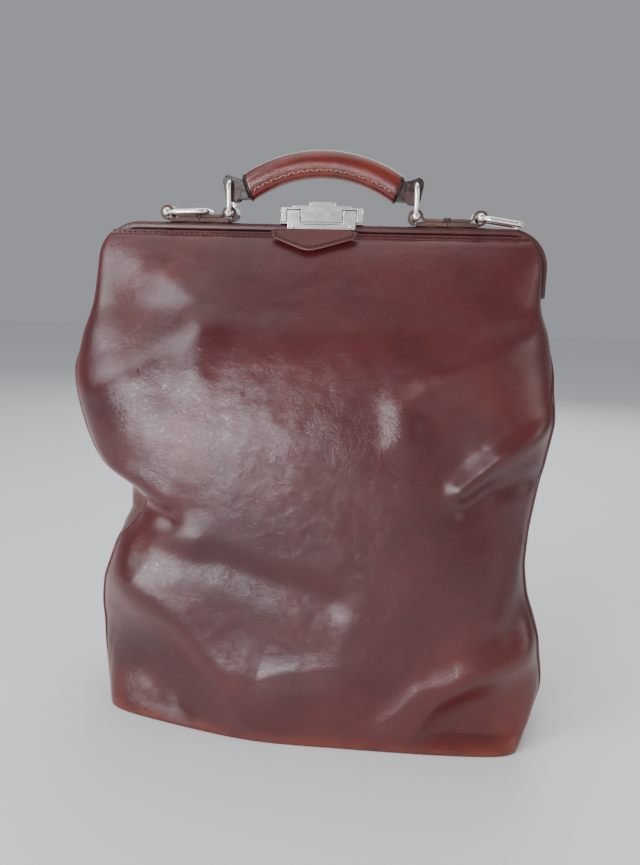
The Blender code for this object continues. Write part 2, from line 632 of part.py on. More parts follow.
# ---- The bag ----
def main():
    for obj in list(bpy.data.objects):
        bpy.data.objects.remove(obj)

    body_leather = material("body_leather", (0.16, 0.045, 0.047), 0.32)
    frame_leather = material("frame_leather", (0.07, 0.016, 0.017), 0.35)
    tab_leather = material("tab_leather", (0.20, 0.055, 0.055), 0.38)
    grip_leather = material("grip_leather", (0.26, 0.04, 0.025), 0.22)
    dark_leather = material("dark_leather", (0.035, 0.010, 0.011), 0.35)
    chape_leather = material("chape_leather", (0.16, 0.075, 0.055), 0.55)
    fabric = material("lining_fabric", (0.30, 0.24, 0.17), 0.9)
    board = material("base_board", (0.33, 0.27, 0.20), 0.9)
    nickel = material("nickel", (0.68, 0.65, 0.60), 0.22, 1.0)
    steel = material("steel", (0.45, 0.45, 0.45), 0.4, 1.0)
    thread = material("thread", (0.04, 0.015, 0.012), 0.7)
    rope = material("rope_core", (0.45, 0.38, 0.27), 0.9)

    make_body(body_leather, board, fabric)
    for end, side in ((-1, "left"), (1, "right")):
        hinge_pin(f"hinge_pin_{side}", end, steel)

    front = pivot_at("front_jaw_axis", (0.0, 0.0, HINGE_Z))
    rear = pivot_at("rear_jaw_axis", (0.0, 0.0, HINGE_Z))
    ride_on(front, *jaw("front", -1, steel, frame_leather))
    ride_on(front, top_wall("front_panel_top", -1, body_leather))
    ride_on(rear, *jaw("rear", 1, steel, frame_leather))
    ride_on(rear, top_wall("back_panel_top", 1, body_leather))

    ride_on(front, *hasp(nickel, steel))
    tab = pivot_at("pull_tab_axis", TAB_HINGE, front)
    ride_on(tab, tab_layer("pull_tab", 0.0, -TAB_THICKNESS, 0.0, tab_leather))
    back = GAP + TAB_BACKING_THICKNESS
    ride_on(tab, tab_layer("pull_tab_backing", TAB_BACKING_INSET, GAP, back, tab_leather))

    plate, case, button, bolt, spring = make_lock(nickel, steel)
    ride_on(rear, plate, case, spring)
    ride_on(pivot_at("slide_button_axis", (0.0, 0.0, BUTTON_TOP), rear), button, bolt)

    for end, side in ((-1, "left"), (1, "right")):
        ride_on(rear, chape(f"{side}_chape", end, chape_leather))
        ride_on(rear, chape_tie(f"{side}_chape_tie", end, thread))
        for kind, x in (("handle", HANDLE_PIVOT_X), ("strap", STRAP_PIVOT_X)):
            ride_on(rear, ring_pin(f"{kind}_ring_pin_{side}", end * x, nickel))
    over_chape = CHAPE_TOP + GAP + WIRE_RADIUS - PIVOT_Z
    over_rail = RAIL_TOP + 2 * GAP + WIRE_RADIUS - PIVOT_Z
    run = STRAP_RING_REACH
    rise = HANDLE_RING_RISE
    left_foot, right_foot = (-STRAP_PIVOT_X, 0, PIVOT_Z), (STRAP_PIVOT_X, 0, PIVOT_Z)
    left_strap = wire_ring("strap_ring_left", left_foot, (run, over_chape), run, nickel)
    right_strap = wire_ring("strap_ring_right", right_foot, (run, over_rail), run, nickel)
    left_foot, right_foot = (-HANDLE_PIVOT_X, 0, PIVOT_Z), (HANDLE_PIVOT_X, 0, PIVOT_Z)
    left_ring = wire_ring("handle_ring_left", left_foot, (0, 1), rise, nickel)
    right_ring = wire_ring("handle_ring_right", right_foot, (0, 1), rise, nickel)
    ride_on(rear, left_strap, right_strap, left_ring, right_ring)
    handle = pivot_at("handle_axis", (-HANDLE_PIVOT_X, 0.0, PIVOT_Z + rise), left_ring)
    ride_on(handle, *make_handle(grip_leather, dark_leather, rope))


main()
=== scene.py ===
"""Looks for the doctor bag: leather shells, stitched trim, nickel fittings and the studio."""

import json
from math import cos, pi, radians, sin, sqrt

import bmesh
import bpy
import numpy as np
from mathutils import Matrix, Vector, noise


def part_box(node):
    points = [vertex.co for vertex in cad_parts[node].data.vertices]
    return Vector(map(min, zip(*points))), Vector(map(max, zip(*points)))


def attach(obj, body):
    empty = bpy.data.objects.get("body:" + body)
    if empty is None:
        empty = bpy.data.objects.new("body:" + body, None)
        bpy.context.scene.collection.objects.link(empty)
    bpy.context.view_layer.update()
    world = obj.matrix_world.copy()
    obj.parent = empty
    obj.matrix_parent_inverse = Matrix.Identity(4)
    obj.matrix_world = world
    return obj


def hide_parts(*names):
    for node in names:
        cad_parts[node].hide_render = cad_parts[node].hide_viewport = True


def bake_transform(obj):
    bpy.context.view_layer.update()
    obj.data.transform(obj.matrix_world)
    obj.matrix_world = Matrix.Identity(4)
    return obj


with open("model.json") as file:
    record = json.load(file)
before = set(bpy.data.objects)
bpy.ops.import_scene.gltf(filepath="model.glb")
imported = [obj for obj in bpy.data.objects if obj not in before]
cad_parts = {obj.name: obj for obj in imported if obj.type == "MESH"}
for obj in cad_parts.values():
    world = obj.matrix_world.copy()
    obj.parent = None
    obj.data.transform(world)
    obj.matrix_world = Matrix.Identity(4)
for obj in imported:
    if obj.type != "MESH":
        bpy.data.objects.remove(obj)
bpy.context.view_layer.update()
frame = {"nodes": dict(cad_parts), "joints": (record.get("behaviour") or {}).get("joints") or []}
nodes = frame["nodes"]
joints = {joint["name"]: joint for joint in frame["joints"]}

# ---- Places taken from the frame ----
RAIL_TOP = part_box("front_jaw_cover")[1].z
PIVOT_Z = joints["strap_ring_left_hinge"]["pos_m"][2]
STRAP_X = joints["strap_ring_right_hinge"]["pos_m"][0]
HANDLE_X = joints["handle_ring_right_hinge"]["pos_m"][0]
HANDLE_Z = joints["handle_hinge"]["pos_m"][2]
LOCK_LOW, LOCK_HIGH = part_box("lock_case")
HASP_LOW, HASP_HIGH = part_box("hasp_plate")
BUTTON_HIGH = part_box("slide_button")[1]

# ---- Thicknesses and the frame's bend, in metres ----
LEATHER = 0.0022
LINING = 0.0008
LINING_INSET = 0.0042  # from the leather's outer face to the lining
RAIL_HALF = 0.004  # half the height of a covered rail
CORNER_RADIUS = 0.036
UPRIGHT = Vector((0, 0, 1))


# ---- Materials ----
class Nodes:
    """Short names for building a material's node tree."""

    def __init__(self, name):
        self.material = bpy.data.materials.new(name)
        self.material.use_nodes = True
        self.tree = self.material.node_tree
        self.shader = self.tree.nodes["Principled BSDF"]
        self.coords = self.tree.nodes.new("ShaderNodeTexCoord").outputs["Object"]

    def add(self, kind, **values):
        node = self.tree.nodes.new(kind)
        for key, value in values.items():
            if key in node.inputs:
                node.inputs[key].default_value = value
            else:
                setattr(node, key, value)
        return node

    def link(self, out, into):
        self.tree.links.new(out, into)

    def feed(self, value, socket):
        """Sets a socket to a colour or a number, or links it to another node's output."""
        if isinstance(value, tuple):
            socket.default_value = (*value, 1.0)
        elif isinstance(value, float):
            socket.default_value = value
        else:
            self.link(value, socket)

    def noise(self, scale, detail=4.0, roughness=0.55, stretch=None, distortion=0.0):
        node = self.add(
            "ShaderNodeTexNoise", Scale=scale, Detail=detail, Roughness=roughness, Distortion=distortion
        )
        place = self.coords
        if stretch is not None:
            mapping = self.add("ShaderNodeMapping", Scale=stretch)
            self.link(self.coords, mapping.inputs["Vector"])
            place = mapping.outputs["Vector"]
        self.link(place, node.inputs["Vector"])
        return node.outputs["Fac"]

    def cells(self, scale, wobble=0.0):
        """Distance to the edge of irregular cells, their edges bent by wobble metres."""
        node = self.add("ShaderNodeTexVoronoi", Scale=scale, feature="DISTANCE_TO_EDGE")
        place = self.coords
        if wobble:
            bend = self.add("ShaderNodeTexNoise", Scale=0.4 * scale, Detail=3.0)
            self.link(self.coords, bend.inputs["Vector"])
            move = self.add("ShaderNodeVectorMath", operation="MULTIPLY_ADD")
            move.inputs[1].default_value = (wobble, wobble, wobble)
            self.link(bend.outputs["Color"], move.inputs[0])
            self.link(self.coords, move.inputs[2])
            place = move.outputs["Vector"]
        self.link(place, node.inputs["Vector"])
        return node.outputs["Distance"]

    def ramp(self, source, *stops):
        """Greys or colours at places along a 0 to 1 source."""
        node = self.add("ShaderNodeValToRGB")
        for i, (place, colour) in enumerate(stops):
            stop = node.color_ramp.elements[i] if i < 2 else node.color_ramp.elements.new(place)
            stop.position = place
            stop.color = (*(colour if isinstance(colour, tuple) else 3 * (colour,)), 1.0)
        self.link(source, node.inputs["Fac"])
        return node.outputs["Color"]

    def mix(self, amount, low, high, blend="MIX"):
        node = self.add("ShaderNodeMix", data_type="RGBA", blend_type=blend)
        for value, place in ((amount, 0), (low, 6), (high, 7)):
            self.feed(value, node.inputs[place])
        return node.outputs[2]

    def product(self, a, b):
        node = self.add("ShaderNodeMath", operation="MULTIPLY")
        self.link(a, node.inputs[0])
        self.link(b, node.inputs[1])
        return node.outputs[0]

    def bump(self, *layers):
        """Bump from (height, strength, distance) layers, each on top of the one before."""
        last = None
        for height, strength, distance in layers:
            node = self.add("ShaderNodeBump", Strength=strength, Distance=distance)
            self.link(height, node.inputs["Height"])
            if last is not None:
                self.link(last, node.inputs["Normal"])
            last = node.outputs["Normal"]
        self.link(last, self.shader.inputs["Normal"])

    def colour(self, source):
        self.link(source, self.shader.inputs["Base Color"])

    def rough(self, source):
        self.link(source, self.shader.inputs["Roughness"])

    def fixed(self, **values):
        for key, value in values.items():
            self.shader.inputs[key.replace("_", " ")].default_value = value


# Noise scales of the leather: blotches of dye, streaks of polish, cracked areas and fine creases.
MOTTLE, STREAK, CRACKED_AREA, CREASE = 70.0, 26.0, 11.0, 120.0
# Painted light: where the surface turns away from the eye the colour is mixed towards this redder tone,
# standing in for edges that reflect no lamp.
PAINTED_GRAZING_TINT = (0.17, 0.022, 0.010)


def leather(name, dark, base, light, rough=(0.28, 0.42), grain=900.0, coat=0.0, wear=None, patches=6.5):
    """Polished hide: patchy dye, fine pores and creases, an optional wear attribute in a lighter tone, and
    with it a painted-light tint that turns redder where the surface turns from the eye.
    """
    n = Nodes(name)
    patch = n.noise(patches, 5.0, 0.6, distortion=0.4)
    tone = n.ramp(patch, (0.30, dark), (0.52, base), (0.75, light))
    mottle = n.ramp(n.noise(MOTTLE, 6.0, 0.7), (0.35, 0.86), (0.65, 1.0))
    tone = n.mix(0.55, tone, mottle, "MULTIPLY")
    if wear is not None:
        worn = n.add("ShaderNodeAttribute", attribute_name="wear").outputs["Fac"]
        tone = n.mix(worn, tone, wear)
        # Painted light: the colour is mixed redder towards the edges that turn from the eye.
        turned = n.add("ShaderNodeLayerWeight", Blend=0.35).outputs["Facing"]
        tone = n.mix(n.ramp(turned, (0.35, 0.0), (0.95, 0.65)), tone, PAINTED_GRAZING_TINT)
    n.colour(tone)
    streak = n.noise(STREAK, 7.0, 0.65)
    n.rough(n.ramp(streak, (0.30, rough[0]), (0.70, rough[1])))
    pores = n.ramp(n.cells(grain), (0.0, 0.0), (0.10, 1.0))
    crackle = n.ramp(n.cells(0.16 * grain, 9.0 / grain), (0.0, 0.0), (0.13, 1.0))
    area = n.ramp(n.noise(CRACKED_AREA, 3.0, 0.6), (0.46, 0.0), (0.60, 1.0))
    lines = n.mix(area, (1.0, 1.0, 1.0), crackle)
    wrinkle = n.noise(CREASE, 8.0, 0.75, stretch=(1.0, 1.0, 1.6), distortion=1.6)
    creases = n.ramp(wrinkle, (0.42, 0.0), (0.58, 1.0))
    n.bump((creases, 0.14, 0.0009), (lines, 0.13, 0.0005), (pores, 0.08, 0.0002))
    n.fixed(Coat_Weight=coat, Coat_Roughness=0.22, Specular_IOR_Level=0.5)
    return n.material


def metal(name, colour, rough, scratch=0.02):
    """Drawn or stamped metal: smudged polish and fine scratches along one direction."""
    n = Nodes(name)
    smudge = n.noise(160.0, 5.0, 0.6)
    n.colour(n.mix(n.noise(60.0, 3.0), colour, tuple(0.90 * c for c in colour)))
    n.rough(n.ramp(smudge, (0.3, rough), (0.75, rough + 0.07)))
    lines = n.noise(900.0, 3.0, 0.6, stretch=(0.08, 1.0, 1.0))
    n.bump((lines, scratch, 0.0001))
    n.fixed(Metallic=1.0)
    return n.material


def weave(name, dark, light, scale=1500.0):
    """Plain woven cloth."""
    n = Nodes(name)
    waves = [n.add("ShaderNodeTexWave", Scale=scale / 6, bands_direction=along) for along in "XZ"]
    for wave in waves:
        n.link(n.coords, wave.inputs["Vector"])
    crossing = n.product(*(wave.outputs["Fac"] for wave in waves))
    tone = n.mix(crossing, dark, light)
    faded = n.ramp(n.noise(14.0, 4.0), (0.3, 0.6), (0.7, 1.0))
    n.colour(n.mix(0.35, tone, faded, "MULTIPLY"))
    n.bump((crossing, 0.35, 0.0003))
    n.fixed(Roughness=0.9, Sheen_Weight=0.2)
    return n.material


def make_materials():
    return {
        "body": leather(
            "body_leather", (0.040, 0.0080, 0.0110), (0.072, 0.0120, 0.0140), (0.110, 0.019, 0.0165),
            rough=(0.17, 0.28), wear=(0.24, 0.045, 0.018), coat=0.11,
        ),
        "frame": leather(
            "frame_leather", (0.030, 0.005, 0.005), (0.052, 0.008, 0.008), (0.08, 0.013, 0.012), coat=0.15,
        ),
        "tab": leather(
            "tab_leather", (0.050, 0.008, 0.008), (0.080, 0.012, 0.011), (0.11, 0.020, 0.016),
            rough=(0.34, 0.46),
        ),
        "tan": leather(
            "raw_edge", (0.20, 0.10, 0.06), (0.30, 0.16, 0.10), (0.38, 0.22, 0.15),
            rough=(0.6, 0.8),
        ),
        "grip": leather(
            "grip_leather", (0.070, 0.008, 0.005), (0.125, 0.013, 0.008), (0.185, 0.024, 0.012),
            rough=(0.13, 0.22), coat=0.3, grain=1400.0, patches=30.0,
        ),
        "dark": leather(
            "dark_leather", (0.012, 0.003, 0.003), (0.026, 0.006, 0.005), (0.050, 0.011, 0.009),
            rough=(0.2, 0.32),
        ),
        "chape": leather(
            "chape_leather", (0.045, 0.015, 0.010), (0.085, 0.032, 0.021), (0.17, 0.08, 0.05),
            rough=(0.5, 0.7), patches=60.0,
        ),
        "nickel": metal("nickel", (0.97, 0.94, 0.90), 0.15),
        "steel": metal("steel", (0.30, 0.29, 0.28), 0.34, 0.12),
        "fabric": weave("lining_fabric", (0.13, 0.10, 0.07), (0.30, 0.25, 0.18)),
        "thread": weave("dark_thread", (0.015, 0.006, 0.005), (0.05, 0.02, 0.016), 6000.0),
        "pale_thread": weave("pale_thread", (0.40, 0.24, 0.18), (0.60, 0.42, 0.34), 6000.0),
        "board": leather(
            "fibre_board", (0.20, 0.15, 0.10), (0.28, 0.22, 0.16), (0.34, 0.28, 0.2),
            rough=(0.8, 0.95),
        ),
    }


mats = make_materials()


# ---- Mesh helpers ----
def placed(name, data):
    """A new object in the scene with this mesh, light or camera."""
    obj = bpy.data.objects.new(name, data)
    bpy.context.scene.collection.objects.link(obj)
    return obj


def new_object(name, points, faces, material):
    mesh = bpy.data.meshes.new(name)
    mesh.from_pydata([tuple(p) for p in points], [], faces)
    mesh.update()
    obj = placed(name, mesh)
    mesh.materials.append(mats[material])
    mesh.shade_smooth()
    return obj


def tidy_normals(obj):
    work = bmesh.new()
    work.from_mesh(obj.data)
    bmesh.ops.recalc_face_normals(work, faces=work.faces)
    work.to_mesh(obj.data)
    work.free()


def band_faces(rings, count, first=0):
    """The faces between closed rings of count points each, whose points follow one another from first."""
    faces = []
    for i in range(rings - 1):
        low, high = first + i * count, first + (i + 1) * count
        faces += [(low + j, low + (j + 1) % count, high + (j + 1) % count, high + j) for j in range(count)]
    return faces


def sheet(name, grid, thickness, material, edge=None, flip=False):
    """A sheet of leather or cloth with real thickness, from rows of outer points."""
    rows, columns = len(grid), len(grid[0])
    points = [p for row in grid for p in row]
    faces = []
    for i in range(rows - 1):
        for j in range(columns - 1):
            a = i * columns + j
            face = (a, a + 1, a + columns + 1, a + columns)
            faces.append(tuple(reversed(face)) if flip else face)
    obj = new_object(name, points, faces, material)
    solid = obj.modifiers.new("Thickness", "SOLIDIFY")
    solid.thickness = thickness
    solid.offset = -1.0
    if edge is not None:
        obj.data.materials.append(mats[edge])
        solid.material_offset_rim = 1
    return obj


def tube(name, path, section, material, up=Vector((0, 1, 0))):
    """A section swept along a path. section(t) gives (across, up) pairs at t from 0 to 1."""
    path = [Vector(p) for p in path]
    rings = []
    last = len(path) - 1
    for i, centre in enumerate(path):
        run = (path[min(i + 1, last)] - path[max(i - 1, 0)]).normalized()
        side = run.cross(up).normalized()
        top = side.cross(run).normalized()
        rings.append([centre + side * u + top * v for u, v in section(i / last)])
    count = len(rings[0])
    points = [p for ring in rings for p in ring]
    faces = band_faces(len(rings), count)
    faces.append(tuple(reversed(range(count))))
    faces.append(tuple(range(last * count, (last + 1) * count)))
    obj = new_object(name, points, faces, material)
    tidy_normals(obj)
    return obj


def oval(half_u, half_v, sides=16, power=2.0):
    """A rounded outline, from an ellipse at power 2 towards a rectangle at higher powers."""
    found = []
    for k in range(sides):
        a = 2 * pi * (k + 0.5) / sides
        c, s = cos(a), sin(a)
        reach = (abs(c) ** power + abs(s) ** power) ** (-1 / power)
        found.append((half_u * c * reach, half_v * s * reach))
    return found


def round_section(radius, sides):
    """A round section for tube, the same all along."""
    return lambda t: oval(radius, radius, sides)


def arc(centre, radius, start, end, steps):
    """Points on a circle from one angle to another, in degrees."""
    angles = [radians(start + (end - start) * i / steps) for i in range(steps + 1)]
    return [(centre[0] + radius * cos(a), centre[1] + radius * sin(a)) for a in angles]


def plate(name, outline, axis, low, high, material, bevel=0.0003, segments=3):
    """An outline extruded along an axis, with bevelled edges."""
    def place(u, v, w):
        return {"X": (w, u, v), "Y": (u, w, v), "Z": (u, v, w)}[axis]

    count = len(outline)
    points = [place(u, v, w) for w in (low, high) for u, v in outline]
    faces = [tuple(range(count)), tuple(reversed(range(count, 2 * count)))]
    faces += [(j, count + j, count + (j + 1) % count, (j + 1) % count) for j in range(count)]
    obj = new_object(name, points, faces, material)
    tidy_normals(obj)
    if bevel > 0:
        edge = obj.modifiers.new("Bevel", "BEVEL")
        edge.width = bevel
        edge.segments = segments
        edge.limit_method = "ANGLE"
        edge.angle_limit = radians(30)
        edge.harden_normals = True
    return obj


def box_outline(low, high):
    return [(low[0], low[1]), (high[0], low[1]), (high[0], high[1]), (low[0], high[1])]


def mirrored(points):
    """A line followed by its mirror image, walked back."""
    return points + [(-u, v) for u, v in reversed(points)]


def joined(name, pieces):
    """Several mesh objects made one, their modifiers applied."""
    graph = bpy.context.evaluated_depsgraph_get()
    work = bmesh.new()
    slots = []
    for piece in pieces:
        slots += [slot for slot in piece.data.materials if slot not in slots]
    for piece in pieces:
        mesh = bpy.data.meshes.new_from_object(piece.evaluated_get(graph))
        mesh.transform(piece.matrix_world)
        places = [slots.index(slot) for slot in piece.data.materials]
        for polygon in mesh.polygons:
            polygon.material_index = places[polygon.material_index]
        work.from_mesh(mesh)
        bpy.data.meshes.remove(mesh)
    mesh = bpy.data.meshes.new(name)
    work.to_mesh(mesh)
    work.free()
    for slot in slots:
        mesh.materials.append(slot)
    obj = placed(name, mesh)
    for piece in pieces:
        bpy.data.objects.remove(piece)
    return obj


STITCH_SIDES = 6
# Each ring of a stitch: its place along it, and its size beside the thickest part.
STITCH_RINGS = ((-0.5, 0.35), (-0.3, 1.0), (0.3, 1.0), (0.5, 0.35))


def stitches(name, path, outward, material, pitch, length, radius, slant=0.0):
    """Thread stitches lying along a path, with their ends sunk. outward is the surface's direction."""
    path = [Vector(p) for p in path]
    normal = Vector(outward).normalized()
    runs = [0.0]
    for a, b in zip(path, path[1:]):
        runs.append(runs[-1] + (b - a).length)
    points, faces = [], []
    for s in range(int(runs[-1] / pitch)):
        at = (s + 0.5) * pitch
        i = max(k for k in range(len(runs) - 1) if runs[k] <= at)
        share = (at - runs[i]) / (runs[i + 1] - runs[i])
        centre = path[i].lerp(path[i + 1], share)
        along = (path[i + 1] - path[i]).normalized()
        along = (along + along.cross(normal) * (slant if s % 2 else -slant)).normalized()
        side = along.cross(normal).normalized()
        start = len(points)
        for place, size in STITCH_RINGS:
            lift = 0.5 * radius * (1 if abs(place) < 0.4 else -1)
            for k in range(STITCH_SIDES):
                a = pi * k / 3
                offset = side * (radius * size * cos(a)) + normal * (radius * size * sin(a) + lift)
                points.append(centre + along * (length * place) + offset)
        faces += band_faces(len(STITCH_RINGS), STITCH_SIDES, start)
        faces.append(tuple(start + k for k in reversed(range(STITCH_SIDES))))
        faces.append(tuple(len(points) - STITCH_SIDES + k for k in range(STITCH_SIDES)))
    obj = new_object(name, points, faces, material)
    tidy_normals(obj)
    return obj


def settle(obj, body, slot, *replaced):
    """Rides the piece on its body, and lists the CAD nodes that it replaces; its slot argument is not used.
    """
    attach(obj, body)
    if replaced:
        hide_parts(*replaced)


# ---- The leather body's shape ----
# Half width to the left and to the right, and half depth, at each height.
LEFT = (
    (0.0, 0.2055), (0.03, 0.2085), (0.066, 0.2105), (0.10, 0.2105), (0.139, 0.2050), (0.16, 0.1975),
    (0.185, 0.1880), (0.205, 0.1700), (0.221, 0.1620), (0.236, 0.1710), (0.259, 0.2010), (0.2975, 0.2200),
    (0.335, 0.2285), (0.3445, 0.2295), (0.3725, 0.2250), (0.41, 0.2150), (0.447, 0.2125),
)
RIGHT = (
    (0.0, 0.2070), (0.03, 0.2195), (0.063, 0.2265), (0.104, 0.2230), (0.153, 0.2090), (0.183, 0.2050),
    (0.24, 0.2105), (0.2785, 0.2175), (0.3155, 0.2222), (0.3513, 0.2188), (0.386, 0.2130), (0.419, 0.2045),
    (0.447, 0.2045),
)
DEPTH = (
    (0.0, 0.0955), (0.02, 0.0945), (0.06, 0.0920), (0.12, 0.0905), (0.20, 0.0900), (0.28, 0.0880),
    (0.34, 0.0790), (0.38, 0.068), (0.41, 0.0525), (0.43, 0.0418), (0.45, 0.0308), (0.462, 0.0236),
    (0.4708, 0.0168), (0.4720, 0.0142), (0.4762, 0.0126),
)
# How far the middle of each gusset is tucked in.
INWARD_RIGHT = (
    (0.0, 0.0), (0.05, -0.004), (0.15, 0.002), (0.22, 0.006), (0.30, 0.012), (0.36, 0.022), (0.405, 0.030),
)
INWARD_LEFT = (
    (0.0, 0.0), (0.05, -0.004), (0.165, 0.0), (0.19, -0.010), (0.22, -0.027), (0.26, 0.002), (0.31, 0.012),
    (0.36, 0.022), (0.405, 0.030),
)
# The front's bottom edge swells in its middle and is pulled back towards the left corner.
PULL_START, PULL_SLOPE, PULL_SOFTNESS, PULL_TOP, SWELL = -0.047, 0.235, 0.035, 0.17, 0.005
WALL_FOOT, HEM_TOP = 0.0004, 0.4762
LINING_FOOT, LINING_TOP, GUSSET_LINING_TOP = 0.010, 0.466, 0.402
# The gussets narrow from their full angle to nothing between these heights, and end at their top.
SEAM = radians(32)
SEAM_NARROWS, SEAM_CLOSES, GUSSET_TOP = 0.335, 0.407, 0.4065
BACK_EDGE = 0.0100
# The plan is a rounded rectangle, squarer at the foot.
PLAN_POWER, FOOT_POWER = 5.0, 6.0
# Past this depth a swelling is held back, as by the stiff base below it.
FULL_DEPTH, FULL_SOFTNESS = 0.0985, 0.25


def smooth_curve(stations):
    """A smooth curve through stations, with no overshoot (monotone cubic)."""
    xs = np.array([s[0] for s in stations])
    ys = np.array([s[1] for s in stations])
    steps = np.diff(xs)
    slopes = np.diff(ys) / steps
    tangents = np.zeros(len(xs))
    tangents[0], tangents[-1] = slopes[0], slopes[-1]
    for i in range(1, len(xs) - 1):
        if slopes[i - 1] * slopes[i] > 0:
            tangents[i] = 2 * slopes[i - 1] * slopes[i] / (slopes[i - 1] + slopes[i])

    def value(x):
        x = min(max(x, xs[0]), xs[-1])
        i = min(max(int(np.searchsorted(xs, x)) - 1, 0), len(steps) - 1)
        t = (x - xs[i]) / steps[i]
        a = (2 * t**3 - 3 * t**2 + 1) * ys[i] + (t**3 - 2 * t**2 + t) * steps[i] * tangents[i]
        b = (3 * t**2 - 2 * t**3) * ys[i + 1] + (t**3 - t**2) * steps[i] * tangents[i + 1]
        return float(a + b)

    return value


left_width, right_width = smooth_curve(LEFT), smooth_curve(RIGHT)
half_depth = smooth_curve(DEPTH)
inward_right, inward_left = smooth_curve(INWARD_RIGHT), smooth_curve(INWARD_LEFT)


def smoothstep(low, high, x):
    t = min(max((x - low) / (high - low), 0.0), 1.0)
    return t * t * (3 - 2 * t)


def plan(angle, power):
    """The unit outline's point in this direction: an ellipse at power 2, squarer above."""
    c, s = cos(angle), sin(angle)
    reach = (abs(c) ** power + abs(s) ** power) ** (-1 / power)
    return c * reach, s * reach


def half_width(z, side):
    """Half width at this height, following the frame's round corners at the top."""
    wide = (right_width if side > 0 else left_width)(z)
    centre = RAIL_TOP - CORNER_RADIUS
    if z <= centre:
        return wide
    return wide - CORNER_RADIUS + sqrt(CORNER_RADIUS**2 - (z - centre) ** 2)


def seam_angle(z):
    """Half the angle that a gusset takes up, seen from above."""
    return SEAM * (1 - smoothstep(SEAM_NARROWS, SEAM_CLOSES, z))


def body_point(angle, z, inset=0.0):
    """The smooth body before its folds are pressed in."""
    power = PLAN_POWER + FOOT_POWER * (1 - smoothstep(0.0, 0.10, z))
    x, y = plan(angle, power)
    side = 1 if x >= 0 else -1
    back = BACK_EDGE * smoothstep(SEAM_NARROWS, SEAM_CLOSES, z)
    depth = half_depth(z) - inset
    wide = half_width(z, side) - inset
    place_y = back + (depth - back) * abs(y)
    if abs(y) < 1e-9:
        place_y = back
    if y < 0:
        low = 1 - smoothstep(0.02, PULL_TOP, z)
        away = PULL_START - wide * x
        pull = 0.5 * PULL_SLOPE * (away + sqrt(away**2 + PULL_SOFTNESS**2))
        pull -= SWELL * smoothstep(0.22, 0.05, abs(wide * x))
        place_y -= low * pull * min(1.0, abs(y) * 1.2)
    return Vector((wide * x, place_y * (1 if y >= 0 else -1), z))


def ridge(x, z, ax, az, bx, bz, width):
    """1 on the line from a to b, falling smoothly to 0 beside it."""
    run_x, run_z = bx - ax, bz - az
    t = ((x - ax) * run_x + (z - az) * run_z) / (run_x**2 + run_z**2)
    t = min(max(t, 0.0), 1.0)
    away = (x - ax - t * run_x) ** 2 + (z - az - t * run_z) ** 2
    return float(np.exp(-away / (2 * width**2)))


def polyridge(x, z, points, width):
    """The highest of the ridges along a broken line."""
    return max(ridge(x, z, *a, *b, width) for a, b in zip(points, points[1:]))


def patch(x, z, cx, cz, rx, rz, turn):
    """1 at the middle of an oval, falling smoothly to 0 round it."""
    c, s = cos(radians(turn)), sin(radians(turn))
    u, v = (x - cx) * c + (z - cz) * s, (z - cz) * c - (x - cx) * s
    return float(np.exp(-0.5 * ((u / rx) ** 2 + (v / rz) ** 2)))


# Each fold of the front leather: height in metres (outward positive), width, and its line in (x, z).
FRONT_FOLDS = (
    (0.0042, 0.013, ((-0.165, 0.440), (-0.112, 0.415), (-0.097, 0.388), (-0.107, 0.352))),
    (0.0040, 0.015, ((-0.220, 0.328), (-0.161, 0.350), (-0.111, 0.387))),
    (-0.0055, 0.0075, ((-0.185, 0.224), (-0.160, 0.222), (-0.130, 0.214))),
    (0.0050, 0.011, ((-0.205, 0.262), (-0.170, 0.246), (-0.135, 0.232))),
    (0.0050, 0.013, ((0.205, 0.392), (0.138, 0.359), (0.105, 0.345), (0.082, 0.325), (0.086, 0.300))),
    (0.0075, 0.008, ((0.225, 0.318), (0.169, 0.281), (0.138, 0.252))),
    (0.0050, 0.008, ((0.200, 0.195), (0.183, 0.132))),
    (0.0100, 0.013, ((0.228, 0.108), (0.155, 0.076), (0.119, 0.054), (0.088, 0.014))),
    (0.0095, 0.018, ((-0.165, 0.145), (-0.119, 0.114), (-0.080, 0.070), (-0.050, 0.042), (0.025, 0.052))),
    (0.0040, 0.012, ((-0.190, 0.196), (-0.150, 0.196), (-0.108, 0.190))),
    (-0.0045, 0.012, ((-0.200, 0.205), (-0.147, 0.192), (-0.062, 0.167), (0.023, 0.142))),
    (-0.0020, 0.008, ((-0.122, 0.030), (-0.118, 0.0))),
    (-0.0050, 0.007, ((0.205, 0.262), (0.165, 0.252), (0.142, 0.236))),
)
# Each hollow or swelling: height, centre in (x, z), half sizes, turn in degrees.
FRONT_PATCHES = (
    (-0.0100, -0.158, 0.405, 0.032, 0.030, -25),
    (-0.0060, 0.115, 0.300, 0.042, 0.030, -30),
    (-0.0060, 0.168, 0.226, 0.030, 0.026, -35),
    (-0.0060, 0.190, 0.140, 0.012, 0.030, 0),
    (-0.0150, 0.165, 0.034, 0.050, 0.026, 12),
    (-0.0130, -0.150, 0.050, 0.034, 0.028, -15),
    (-0.0060, -0.190, 0.205, 0.024, 0.020, 0),
    (0.0040, -0.060, 0.270, 0.090, 0.070, 0),
    (0.0030, 0.060, 0.120, 0.070, 0.060, 0),
    (0.0030, -0.180, 0.300, 0.035, 0.035, 0),
)


def fold_depth(x, z, back):
    """How far the leather stands out (+) or is pressed in (-) at a place on the front or back."""
    if back:
        x, z = -0.92 * x, z + 0.012 * sin(9 * x)
    height = sum(h * polyridge(x, z, line, w) for h, w, line in FRONT_FOLDS)
    height += sum(h * patch(x, z, *rest) for h, *rest in FRONT_PATCHES)
    if back:
        height *= 0.65
    rumple = noise.fractal(Vector((x * 16, 5.0 if back else 0.0, z * 16)), 1.0, 2.1, 4)
    fine = noise.fractal(Vector((x * 70, 9.0 if back else 3.0, z * 90)), 1.0, 2.0, 3)
    return height + 0.0008 * rumple + 0.00016 * fine


